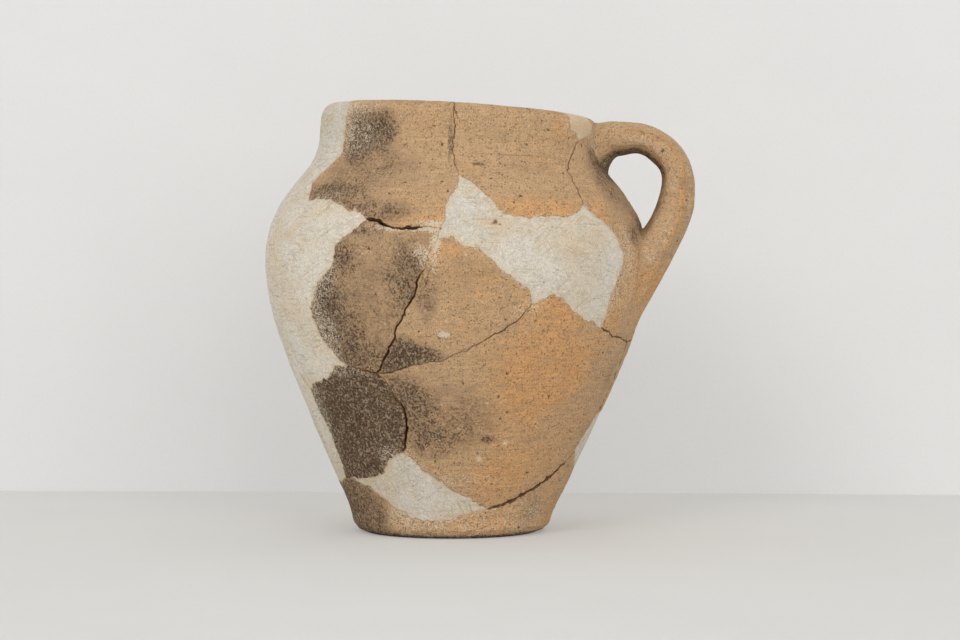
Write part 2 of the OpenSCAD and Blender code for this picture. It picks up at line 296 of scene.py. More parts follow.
# Open width of each crack along its length, evenly spaced values; the rest are closed joints
CRACKS = {
    "a_b": (0.1, 0.12, 0.16, 0.18, 0.12, 0.1), "b_c": (0.12, 0.22, 0.2, 0.2, 0.16),
    "a_d": (0.3, 1.5, 1.4, 0.5, 0.4, 1.0, 1.0, 0.1, 0, 0), "c_f": (0.4, 0.25, 0.3, 0.3),
    "d_e": (0, 0, 0.1, 0.6, 0.55, 0.5, 0.6, 0.7, 0.75, 0.45), "d_g": (0.1, 0.3, 0.25),
    "e_f": (0.4, 0.2, 0.1, 0.1, 0.12, 0.2, 0.25, 0.25, 0.1), "f_g": (0.15, 0.15, 0.5, 0.8, 0.9, 0.5),
    "f_back": (0.4, 0.7, 0.8, 0.6), "f_right": (0.5, 0.4, 0.5), "f_h": (0.5, 1.6, 0.9, 1.3, 0.7, 0.4),
    "g_h": (0.2, 0.2), "back_h": (0.2, 0.3, 0.2, 0.3), "c_back": (0.3, 0.25, 0.35, 0.25),
}
AZ_SCALE = math.radians(1)


def roughened(name):
    """A break line resampled and roughened: azimuth in radians, arc length, open width."""
    seed = sorted(LINES).index(name) + 11
    pts = [(a * AZ_SCALE, S_END if z is None else float(s_at(z))) for a, z in LINES[name]]
    az, s = np.array(pts).T
    r = np.interp(s, OUT_S, OUT_R)
    seg = np.hypot(np.diff(az) * (r[1:] + r[:-1]) / 2, np.diff(s))
    along = np.r_[0, np.cumsum(seg)]
    n = max(3, int(round(along[-1] / 0.45)))
    t = np.linspace(0, along[-1], n + 1)
    az, s = np.interp(t, along, az), np.interp(t, along, s)
    r = np.interp(s, OUT_S, OUT_R)
    du, ds = np.gradient(az) * r, np.gradient(s)
    norm = np.hypot(du, ds)
    crack = name in CRACKS
    amount = 0.7 if crack else 1.1
    wobble = amount * (
        0.55 * line_noise(t / 5.0, seed) + 0.42 * line_noise(t / 2.1, seed + 50)
        + 0.36 * line_noise(t / 1.0, seed + 90) + 0.2 * line_noise(t / 0.6, seed + 170)
    )
    wobble *= np.minimum(1, np.minimum(t, t[-1] - t) / 2.0)
    az = az - wobble * ds / norm / r
    s = np.minimum(s + wobble * du / norm, S_END)
    width = np.zeros(n + 1)
    if crack:
        w = np.array(CRACKS[name], float)
        width = np.interp(t, np.linspace(0, t[-1], len(w)), w)
        width *= 1 + 0.35 * line_noise(t / 1.7, seed + 130)
    return az, s, width, np.full(n + 1, crack)


ROUGH = {name: roughened(name) for name in LINES}


def outline(parts, wrap=None):
    """One closed loop from break lines ("-name" is backward) and ("rim", from, to) runs."""
    rows = []
    for part in parts:
        if isinstance(part, tuple):
            a, b = part[1] * AZ_SCALE, part[2] * AZ_SCALE
            n = max(4, int(abs(b - a) * NECK_R / 0.6))
            az = np.linspace(a, b, n + 1)
            cols = [az, np.full(n + 1, S_END), np.zeros(n + 1), np.zeros(n + 1, bool)]
        else:
            cols = list(ROUGH[part.lstrip("-")])
            if part[0] == "-":
                cols = [c[::-1] for c in cols]
        az = cols[0]
        if wrap is not None:
            az = np.where(az > wrap * AZ_SCALE, az - 2 * math.pi, az)
        rows.append(np.c_[az, cols[1], cols[2], cols[3]][:-1])
    return np.vstack(rows)


# ---- Soot and painted shade, warm, and pale with painted light: fields of (azimuth, height, reach across, reach up, strength)
SOOT_AND_SHADE = {
    "rim_sherd_left": [
        (-42, 133.5, 9, 6.5, 0.74), (-31, 134, 7, 5.5, 0.72), (-43, 127.5, 7, 4, 0.42),
        (-52, 112, 9, 4, 0.28), (-40, 112, 10, 3.5, 0.45), (-25, 106, 14, 4, 0.45),
        (-34, 121, 22, 10, 0.33), (-2.9, 131, 1.1, 9, 0.45),
    ],
    "rim_sherd_middle": [
        (7.8, 122.4, 2.2, 0.55, 0.8), (27, 122, 16, 3, 0.18), (24, 125.8, 24, 0.35, 0.3),
        (34, 114, 14, 0.4, 0.2),
    ],
    "handle_sherd": [
        # The first spot, on the neck under the handle's upper root, is partly soot and partly painted
        # shade from the handle
        (75, 126, 10, 7, 0.9), (69, 88, 3, 8, 0.35), (80, 103, 7, 4, 0.4), (62, 116, 8, 9, 0.35),
        (66, 101, 5, 4, 0.45), (73, 108, 6, 8, 0.25),
    ],
    "body_sherd_left": [
        (-25, 78, 40, 40, 0.26), (-43, 79, 6, 13, 1.0), (-37, 66, 8, 10, 0.4), (-28, 58, 12, 5, 0.22),
        (-37, 91, 7, 5, 0.42), (-13, 86, 5, 9, 0.44), (-27, 101, 6, 2, 0.3),
    ],
    "body_sherd_middle": [
        (5, 88, 12, 8, 0.2), (-8, 80, 4, 10, 0.34), (-17, 59.5, 8, 6, 1.3), (-9, 61, 6, 3, 0.6),
    ],
    "lower_sherd_right": [
        (-19, 49, 9, 7, 0.47), (-13, 41, 8, 9, 0.38), (-8, 32, 11, 6, 0.35), (2, 44, 14, 12, 0.2),
        (10, 38, 12, 9, 0.18), (20, 22, 10, 7, 0.1), (14.6, 33.8, 2.5, 1.2, 0.4), (68, 56, 6, 10, 0.22),
        (68, 34, 8, 8, 0.2),
    ],
    "lower_sherd_left": [(-44, 38, 60, 40, 1.3), (-44, 36, 14, 12, 0.15)],
    "base_sherd": [
        # Painted contact shadow: the first spot darkens a thin band along the foot's lower edge
        (0, 0, 400, 1.1, 1.8), (-62, 9, 22, 20, 0.38), (-44, 6, 10, 7, 0.15), (48, 10, 14, 8, 0.22),
        (270, 8, 40, 16, 0.45),
    ],
    "back_sherd": [
        (215, 70, 26, 34, 0.5), (150, 40, 30, 18, 0.3), (232, 118, 14, 14, 0.4), (185, 112, 20, 12, 0.15),
    ],
    "fill_shoulder": [
        (11.4, 103.7, 0.8, 0.8, 0.9), (12.7, 102.8, 0.6, 0.5, 0.6), (10.4, 102.8, 0.5, 0.5, 0.5),
        (15.4, 101.4, 0.7, 0.5, 0.45), (18, 100.9, 1.2, 0.45, 0.4), (21.4, 100.4, 0.8, 0.45, 0.4),
        (23.8, 98.9, 0.5, 0.5, 0.4), (-4.4, 101.1, 0.6, 0.5, 0.7), (29, 102.5, 0.5, 0.4, 0.5),
    ],
    "fill_left": [
        (-61.6, 99.3, 1.4, 0.6, 0.3), (-53, 98, 1.6, 0.5, 0.3), (-72.7, 78.2, 0.5, 0.5, 0.4),
        (-61.3, 69.2, 1.0, 0.5, 0.4), (-54, 105, 0.7, 0.4, 0.25),
    ],
}
WARM = {
    "rim_sherd_left": [(-4, 108, 8, 6, 0.3), (-18, 104, 8, 2.5, 0.3), (-40, 118, 14, 8, -0.5)],
    "rim_sherd_middle": [(24, 108, 26, 5, 0.9), (46, 138, 8, 5, 0.5), (4, 120, 4, 4, 0.5)],
    "handle_sherd": [(66, 90, 10, 10, 0.8), (56, 74, 8, 8, 0.5), (49, 107, 5, 5, 0.7)],
    "body_sherd_left": [(-30, 80, 30, 30, -0.4)],
    "body_sherd_middle": [
        (-1, 95, 5, 3.5, 0.6), (16, 80, 10, 6, 0.2), (20, 78, 3, 4, 0.6), (4, 88, 8, 6, 0.2),
    ],
    "lower_sherd_right": [
        (30, 78, 12, 6, 1.0), (34, 62, 14, 16, 0.8), (26, 46, 12, 16, 0.7), (20, 22, 14, 10, 0.6),
        (50, 60, 14, 12, 0.3), (14, 60, 10, 8, 0.3), (40, 30, 12, 12, 0.3),
    ],
    "lower_sherd_left": [(-26, 28, 6, 3, 0.6)],
    "base_sherd": [(0, 4, 26, 8, 0.5), (30, 6, 12, 8, 0.4)],
    "back_sherd": [(170, 100, 26, 22, 0.5), (110, 50, 22, 18, 0.4)],
    "fill_shoulder": [
        (11.6, 103.3, 4, 2, 0.6), (36, 97, 5, 4, 0.35), (46, 100, 5, 4, 0.4), (20, 101, 7, 2, 0.3),
    ],
    "fill_left": [(-60, 98.5, 8, 2, 0.4), (-60, 74, 10, 3, 0.25), (-55, 50, 10, 4, 0.2)],
    "fill_rim_patch": [(60, 138, 14, 8, 0.95)],
}
PALE = {
    "rim_sherd_left": [
        (-7, 102.6, 3.5, 1.0, 1.0), (-46, 141, 12, 2, 0.35), (-49, 133, 4, 8, 0.4), (-42, 132, 9, 6, 0.2),
        (-44, 111.5, 8, 1.5, 0.2),
    ],
    "rim_sherd_middle": [(38, 106, 4, 1.5, 0.3), (49, 139, 3, 4, 0.2)],
    "handle_sherd": [
        (60, 88, 9, 14, 0.22), (71, 134, 4, 5, 0.5), (61, 96, 2.5, 8, 0.2), (52.5, 78, 2, 7, 0.2),
    ],
    "body_sherd_left": [
        (-7.6, 91, 2.0, 3.2, 0.8), (-10.5, 94, 2.0, 2.0, 0.5), (-5.6, 97, 1.2, 2.5, 1.2),
        (-7.5, 101.2, 4.5, 1.1, 1.2), (-17, 101, 4, 1.0, 0.6), (-45.5, 78, 3, 12, 0.5),
        (-42, 65, 4, 8, 0.4), (-40, 86, 4, 6, 0.35), (-20, 101.5, 7, 1, 0.35),
    ],
    "body_sherd_middle": [
        (-6, 92, 1.5, 4.5, 0.45), (-5, 95.8, 0.9, 2.2, 0.9), (-2.9, 67.8, 1.6, 0.8, 2.0),
        (20, 76, 3, 2.5, 0.25),
    ],
    "lower_sherd_right": [
        (21.9, 32.8, 0.9, 0.7, 1.6), (11.8, 27.5, 0.9, 0.7, 1.6), (24, 77, 3, 2.5, 0.25),
        (-19, 29, 3, 2, 0.2), (0, 20, 20, 3, 0.14),
    ],
    "lower_sherd_left": [(-27, 28, 6, 3, 0.35), (-61, 40, 4, 16, 0.3), (-44, 55, 12, 2, 0.25)],
    # Painted light: these spots lighten the foot's lower left, middle and right, where it turns down from
    # the lamps
    "base_sherd": [(-28, 8, 8, 6, 0.3), (4, 6, 28, 7, 0.34), (46, 8, 18, 8, 0.2)],
    "fill_left": [(-66, 66, 60, 50, 0.7)],
    "fill_shoulder": [(4, 104, 16, 10, -0.3)],
}
# Small hollows: (azimuth, height, half length, half height, depth), long way level
HOLLOWS = {
    "rim_sherd_middle": [
        (7.8, 122.3, 2.4, 0.5, 0.6), (24, 125.8, 24, 0.4, 0.16), (22, 121, 16, 0.4, 0.12),
        (20.9, 141.4, 0.7, 0.9, 0.6),
    ],
    "rim_sherd_left": [
        (-47, 113.2, 7, 0.4, 0.2), (-44, 111.6, 7, 0.4, 0.14), (-27, 127, 16, 0.4, 0.12),
        (-33.5, 132.5, 1.6, 0.7, 0.5), (-24, 118, 18, 0.5, 0.12),
    ],
    "fill_shoulder": [
        (11.6, 103.3, 0.8, 0.7, 0.7), (-4.4, 101.1, 0.45, 0.4, 0.5), (17, 101.5, 2.6, 0.4, 0.22),
        (31.7, 82.5, 2.5, 0.4, 0.2), (29, 102.5, 0.4, 0.4, 0.4),
    ],
    "lower_sherd_right": [(14.6, 33.8, 2.0, 1.0, 0.4), (-8, 44, 1.0, 0.6, 0.3), (36, 22, 0.9, 0.7, 0.3)],
    "body_sherd_left": [(-39.5, 82, 1.6, 0.9, 0.4), (-44, 74, 1.2, 1.4, 0.4)],
    "fill_left": [
        (-61.6, 99.3, 1.0, 0.6, 0.4), (-72.7, 78.2, 0.7, 0.4, 0.3), (-53, 98, 1.0, 0.4, 0.35),
        (-61.3, 69.2, 0.7, 0.5, 0.3),
    ],
}


def degrees_off(az, middle):
    """How far azimuths lie from one in degrees, the short way round."""
    return (az / AZ_SCALE - middle + 180) % 360 - 180


def field(blobs, az, z):
    """Sum of soft spots at points."""
    total = np.zeros(len(az))
    for a, h, wide, tall, strength in blobs:
        d = degrees_off(az, a) / wide
        total += strength * np.exp(-((d**2 + ((z - h) / tall) ** 2) ** 1.3))
    return total


def lean(p):
    """From the pot's own frame to the row frame, in metres."""
    c, s = math.cos(LEAN), math.sin(LEAN)
    x, y, z = p.T
    handle = ramp(np.hypot(x, y), NECK_R - 3.25, NECK_R + 4.75)
    lift = (RIM_SLOPE * x - RIM_DROP) * (1 - handle) - RIM_DROP * handle
    z = z + lift * ramp(z, 118, POT_H)
    return np.c_[x * c + z * s, y, -x * s + z * c] * MM


def relief(p, name, plaster, az, z):
    """How far the outer surface stands proud of the smooth form, in mm."""
    d = 0.28 * noise(p / 38, 1) + 0.1 * noise(p / 9, 2)
    rings = noise(p * [0.014, 0.014, 0.36], 3) + 0.6 * noise(p * [0.03, 0.03, 0.9], 4)
    if plaster:
        d += 0.08 * noise(p / 4.5, 5) + 0.03 * noise(p / 1.6, 6)
        d += 0.03 * noise(p / 0.9, 7)
    else:
        strong = 0.35 + 0.65 * ramp(z, 92, 104)
        d += 0.11 * rings * strong
        d += 0.08 * noise(p / 2.6, 8) + 0.1 * noise(p / 1.15, 9)
        pits = noise(p / 1.5, 11)
        d -= 0.28 * ramp(pits, 0.62, 0.9)
        d += 0.18 * ramp(noise(p / 1.3, 12), 0.7, 0.95)
    for a, h, wide, tall, depth in HOLLOWS.get(name, []):
        du = degrees_off(az, a) * AZ_SCALE * np.interp(h, Z_OF_WALL, OUT_R)
        du = du + 0.45 * noise(p / 1.2, 14)
        dv = z - h + 0.35 * noise(p / 1.3, 13)
        d -= depth * np.exp(-((du / wide) ** 4 + (dv / tall) ** 2))
    return d


def nearest(points, targets, chunk=1500):
    """Distance to, and index of, the nearest target of each point."""
    dist, index = np.empty(len(points)), np.empty(len(points), int)
    tt = (targets**2).sum(1)
    for i in range(0, len(points), chunk):
        q = points[i : i + chunk]
        d2 = (q**2).sum(1)[:, None] + tt - 2 * q @ targets.T
        k = d2.argmin(1)
        index[i : i + chunk] = k
        dist[i : i + chunk] = np.sqrt(np.maximum(d2[np.arange(len(q)), k], 0))
    return dist, index


def make_mesh(name, verts, faces, smooth, attributes):
    """A mesh object from arrays; faces is a list of index arrays of 3 or 4 columns."""
    mesh = bpy.data.meshes.new(name)
    flat = np.concatenate([f.ravel() for f in faces]).astype(np.int32)
    sizes = np.concatenate([np.full(len(f), f.shape[1]) for f in faces])
    mesh.vertices.add(len(verts))
    mesh.vertices.foreach_set("co", np.asarray(verts, np.float32).ravel())
    mesh.loops.add(len(flat))
    mesh.loops.foreach_set("vertex_index", flat)
    mesh.polygons.add(len(sizes))
    mesh.polygons.foreach_set("loop_start", np.r_[0, np.cumsum(sizes)[:-1]].astype(np.int32))
    mesh.update(calc_edges=True)
    mesh.polygons.foreach_set("use_smooth", np.concatenate(smooth))
    for key, values in attributes.items():
        a = mesh.attributes.new(key, "FLOAT", "POINT")
        a.data.foreach_set("value", np.asarray(values, np.float32))
    mesh.validate()
    mesh.update()
    ob = bpy.data.objects.new(name, mesh)
    bpy.context.collection.objects.link(ob)
    return ob


def crest_of(level):
    """Which arc lengths are the top of the lip."""
    return np.isclose(level, S_END, atol=1e-9)


def inside(points, polygon):
    """Even-odd test of many points against one polygon."""
    hit = np.zeros(len(points), bool)
    x, y = points[:, 0], points[:, 1]
    for (x0, y0), (x1, y1) in zip(polygon, np.roll(polygon, -1, 0)):
        if y0 == y1:
            continue
        cross = (y0 > y) != (y1 > y)
        hit ^= cross & (x < (x1 - x0) * (y - y0) / (y1 - y0) + x0)
    return hit


def inward_of(loop, mid_r):
    """Directions into the piece at its outline, smoothed along it."""
    xy = np.c_[loop[:, 0] * mid_r, loop[:, 1]]
    along = np.roll(xy, -1, 0) - np.roll(xy, 1, 0)
    inward = np.c_[-along[:, 1], along[:, 0]]
    inward /= np.linalg.norm(inward, axis=1)[:, None]
    inward = sum(np.roll(inward, k, 0) for k in range(-3, 4))
    return inward / np.linalg.norm(inward, axis=1)[:, None]


# A sheet's grid in shares of its step: gap of rows, random shift, clearance from the outline
ROW_GAP, JITTER, CLEAR = 0.87, 0.22, 0.62
# A close row that keeps broken edges crisp, with its own clearance, and the inner face's step, in mm
EDGE_ROW, EDGE_CLEAR, INNER_STEP = 0.24, 0.17, 1.7


def sheet_of(loop, step, holes=(), edge_row=True):
    """Triangles over the pot's surface inside an outline: azimuth, arc length, triangles, ids.

    ids gives the vertex that each outline point became, the outline first, then each hole.
    """
    mid_r = float(np.interp(np.median(loop[:, 1]), OUT_S, OUT_R))
    xy = np.c_[loop[:, 0] * mid_r, loop[:, 1]]
    rng = np.random.default_rng(5)
    rows = []
    lo, hi = loop[:, 1].min(), loop[:, 1].max()
    for j, s in enumerate(np.arange(lo + step * 0.7, hi, step * ROW_GAP)):
        gap = step / float(np.interp(s, OUT_S, OUT_R))
        a = np.arange(loop[:, 0].min() + gap * (j % 2) / 2, loop[:, 0].max(), gap)
        rows.append(np.c_[a, np.full(len(a), s)])
    grid = np.vstack(rows)
    around = step / np.interp(grid[:, 1], OUT_S, OUT_R)
    grid += rng.uniform(-JITTER, JITTER, grid.shape) * np.c_[around, np.full(len(grid), step)]
    fences = [loop[:, :2]] + [np.asarray(h) for h in holes]
    fence_p = np.vstack([on_outer(f[:, 0], f[:, 1])[0] for f in fences])

    def kept(points, clear):
        d, _ = nearest(on_outer(points[:, 0], points[:, 1])[0], fence_p)
        points = points[d > clear]
        return points[inside(points * [mid_r, 1], xy)]

    fill = [kept(grid, CLEAR * step)]
    if edge_row:
        close = (xy + inward_of(loop, mid_r) * EDGE_ROW) / [mid_r, 1]
        fill.append(kept(close[~crest_of(loop[:, 1])], EDGE_CLEAR))
    points = np.vstack(fences + fill)
    edges, faces, start = [], [], 0
    for f in fences:
        idx = list(range(start, start + len(f)))
        edges += list(zip(idx, idx[1:] + idx[:1]))
        faces.append(idx)
        start += len(f)
    flat = [Vector((float(x) * mid_r, float(y))) for x, y in points]
    found, _, tris, from_point, _, _ = delaunay_2d_cdt(flat, edges, faces, 1, 1e-6)
    pos = np.array([tuple(v) for v in found])
    tris = np.array([list(t) for t in tris])
    middle = pos[tris].mean(1)
    open_here = np.zeros(len(tris), bool)
    for hole in fences[1:]:
        open_here |= inside(middle, hole * [mid_r, 1])
    ids = np.full(len(points), -1)
    for new, olds in enumerate(from_point):
        ids[list(olds)] = new
    assert len(found) == len(points), "an outline crosses itself"
    return pos[:, 0] / mid_r, np.minimum(pos[:, 1], S_END), tris[~open_here], ids


# How far each piece stands proud (+) or sunk (-) of the pot's smooth form
LEVEL = {
    "body_sherd_left": -0.12, "body_sherd_middle": 0.1, "lower_sherd_left": -0.08, "rim_sherd_left": 0.05,
    "fill_left": -0.1, "fill_shoulder": -0.12, "fill_foot": -0.15, "fill_right": -0.2,
    "fill_rim_patch": 0.05,
}
FIELDS = ("soot_and_shade", "warm", "pale", "crack", "gape", "fill", "chip", "inside")
# How far from an open crack, in mm, the surface draws back; and the inside field on broken clay
DRAW_BACK, BROKEN = 2.5, 0.6


def worn_edges(p, d_crack, d_fill, gape, plaster):
    """Drop of the surface toward broken edges, and where the edge is chipped away."""
    chip = ramp(noise(p / 1.9, 21) + 0.4 * noise(p / 0.9, 22), 0.15, 0.7)
    drop = (0.16 + 0.5 * chip) * np.exp(-((d_crack / (0.3 + 0.75 * chip)) ** 1.3))
    drop *= np.clip(0.25 + 1.5 * gape, 0, 1)
    if not plaster:
        drop += (0.08 + 0.3 * chip) * np.exp(-((d_fill / (0.35 + 0.5 * chip)) ** 1.4))
    mark = chip * np.exp(-((np.minimum(d_crack, d_fill) / 0.9) ** 2))
    return drop, mark


def looks_at(name, az, z, **given):
    """The vertex fields that the materials read, at points of a piece."""
    empty = {"crack": 9.0, "gape": 0.0, "fill": 9.0, "chip": 0.0, "inside": 0.0}
    values = {"soot_and_shade": field(SOOT_AND_SHADE.get(name, []), az, z), "warm": field(WARM.get(name, []), az, z),
              "pale": field(PALE.get(name, []), az, z)}
    for key, value in empty.items():
        values[key] = given.get(key, np.full(len(az), value))
    return values


def joined(parts):
    """Fields of several sets of points, one after the other."""
    return {k: np.concatenate([part[k] for part in parts]) for k in FIELDS}


def evened(width):
    """Open widths round a closed outline, averaged over seven neighbours."""
    return np.convolve(np.r_[width[-3:], width, width[:3]], np.ones(7) / 7, "valid")


def near_edge(distance):
    """1 at a broken edge, fading to 0 at the distance to which the surface draws back from it."""
    return np.clip(1 - distance / DRAW_BACK, 0, 1) ** 2


def crack_depth(width):
    """Depth in mm of the ring where the open mouth of a crack ends."""
    return 0.8 + 2.2 * width


def crack_width(widths, p, name):
    """Open width at points of one side of a crack, uneven on each side in its own way."""
    seed = 60 + sorted(SLOTS).index(name)
    uneven = 1 + 0.7 * noise(p / 1.3, seed) + 0.35 * noise(p / 0.6, seed + 20)
    return widths * np.clip(uneven, 0.1, 2)


def closed_piece(name, loop, step, plaster, holes=()):
    """A closed piece: outer face, inner face and broken edges, with the outer face's outline ids."""
    az, s, tris, ids = sheet_of(loop, step, holes)
    az_in, s_in, tris_in, ids_in = sheet_of(loop, INNER_STEP, edge_row=False)
    n, m = len(az), len(loop)
    mid_r = float(np.interp(np.median(loop[:, 1]), OUT_S, OUT_R))
    top = crest_of(loop[:, 1])
    loop_p = on_outer(loop[:, 0], loop[:, 1])[0]
    base = on_outer(az, s)[0]
    cracked, filled = loop[:, 2] > 0.05, (loop[:, 3] < 0.5) & ~top
    far = np.full(n, 99.0)
    d_crack = nearest(base, loop_p[cracked])[0] if cracked.any() else far
    d_fill = nearest(base, loop_p[filled])[0] if filled.any() else far
    d_any, k_any = nearest(base, loop_p)

    # The sheet draws back from a crack by half its width, which opens the crack
    width = evened(loop[:, 2])
    pull = 0.5 * crack_width(width[k_any], base, name) * near_edge(d_any)
    inward = inward_of(loop, mid_r)[k_any]
    az_out = az + inward[:, 0] * pull / np.interp(s, OUT_S, OUT_R)
    s_out = np.where(crest_of(s), s, np.clip(s + inward[:, 1] * pull, 0, S_END - 0.02))
    outer, n_out = on_outer(az_out, s_out)
    z = outer[:, 2]
    drop, chip = worn_edges(outer, d_crack, d_fill, width[k_any], plaster)
    d = relief(outer, name, plaster, az_out, z) + LEVEL.get(name, 0) - drop
    d *= 1 - 0.6 * ramp(s, S_END - 3, S_END)
    outer = outer + n_out * d[:, None]

    # The inner face, which shares the crest of the lip with the outer one
    inner = on_inner(az_in, s_in)
    turn = np.c_[-np.sin(az_in), np.cos(az_in), np.zeros(len(az_in))]
    inner_edge = np.zeros(len(az_in), bool)
    inner_edge[ids_in] = np.arange(len(ids_in)) < m
    uneven = 0.3 * noise(inner * [0.03, 0.03, 0.3], 31) + 0.15 * noise(inner / 3, 32)
    away = (HEART_AXIS - inner) * [1, 1, 0]
    away /= np.linalg.norm(away, axis=1)[:, None] + 1e-9
    inner = inner + away * np.where(inner_edge, 0, uneven)[:, None]
    inner_id = n + np.arange(len(az_in))
    inner_id[ids_in[:m][top]] = ids[:m][top]

    # The broken edge: from the surface to a ring at the crack's depth, and on to the inside
    foot = on_inner(loop[:, 0], loop[:, 1])
    gap = np.maximum(np.linalg.norm(foot - loop_p, axis=1), 1e-6)
    deep = np.clip(crack_depth(width) / gap, 0.05, 0.8)
    ring = loop_p + (foot - loop_p) * deep[:, None]
    ring_id = n + len(az_in) + np.arange(m)
    ring_id[top] = ids[:m][top]
    edge_faces = []
    for upper_id, lower_id in ((ids[:m], ring_id), (ring_id, inner_id[ids_in[:m]])):
        quad = np.c_[np.roll(upper_id, -1), upper_id, lower_id, np.roll(lower_id, -1)]
        here, there = upper_id == lower_id, np.roll(upper_id == lower_id, -1)
        edge_faces += [
            quad[~here & ~there], quad[here & ~there][:, [0, 1, 3]], quad[~here & there][:, [0, 1, 2]],
        ]
    verts = np.vstack([outer, inner, ring])
    faces = [tris, inner_id[tris_in[:, ::-1]]] + edge_faces
    smooth = [np.ones(len(tris), bool), np.ones(len(tris_in), bool)]
    smooth += [np.zeros(len(f), bool) for f in edge_faces]
    fields = joined([
        looks_at(name, az, base[:, 2], crack=d_crack, gape=width[k_any], fill=d_fill, chip=chip),
        looks_at("", az_in, inner[:, 2], inside=np.ones(len(az_in))),
        looks_at(name, loop[:, 0], loop_p[:, 2], crack=np.zeros(m), gape=width, inside=np.full(m, BROKEN)),
    ])
    if not plaster:
        # A thin band along the crest of the lip is painted darker
        lip = ramp(s, S_END - 1.6, S_END) * (0.3 + 0.4 * noise(base / 5, 33))
        fields["soot_and_shade"][:n] += np.maximum(lip, 0)
    return verts, faces, smooth, fields, ids[m:]


def finish_piece(name, verts, faces, smooth, fields, material):
    """Makes a piece's mesh without unused points, and stands it for its CAD node."""
    faces, smooth = zip(*[(f, m) for f, m in zip(faces, smooth) if len(f)])
    used = np.unique(np.concatenate([f.ravel() for f in faces]))
    new = np.full(len(verts), -1)
    new[used] = np.arange(len(used))
    faces, fields = [new[f] for f in faces], {k: v[used] for k, v in fields.items()}
    ob = make_mesh(name + "_look", lean(verts[used]), faces, smooth, fields)
    ob.data.materials.append(material)
    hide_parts(name)
    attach(ob, "root")
    return ob


# ---- Materials
def srgb(r, g, b):
    """A linear colour from its sRGB levels out of 255."""
    lin = [((c / 255 + 0.055) / 1.055) ** 2.4 if c > 10 else c / 255 / 12.92 for c in (r, g, b)]
    return (*lin, 1.0)


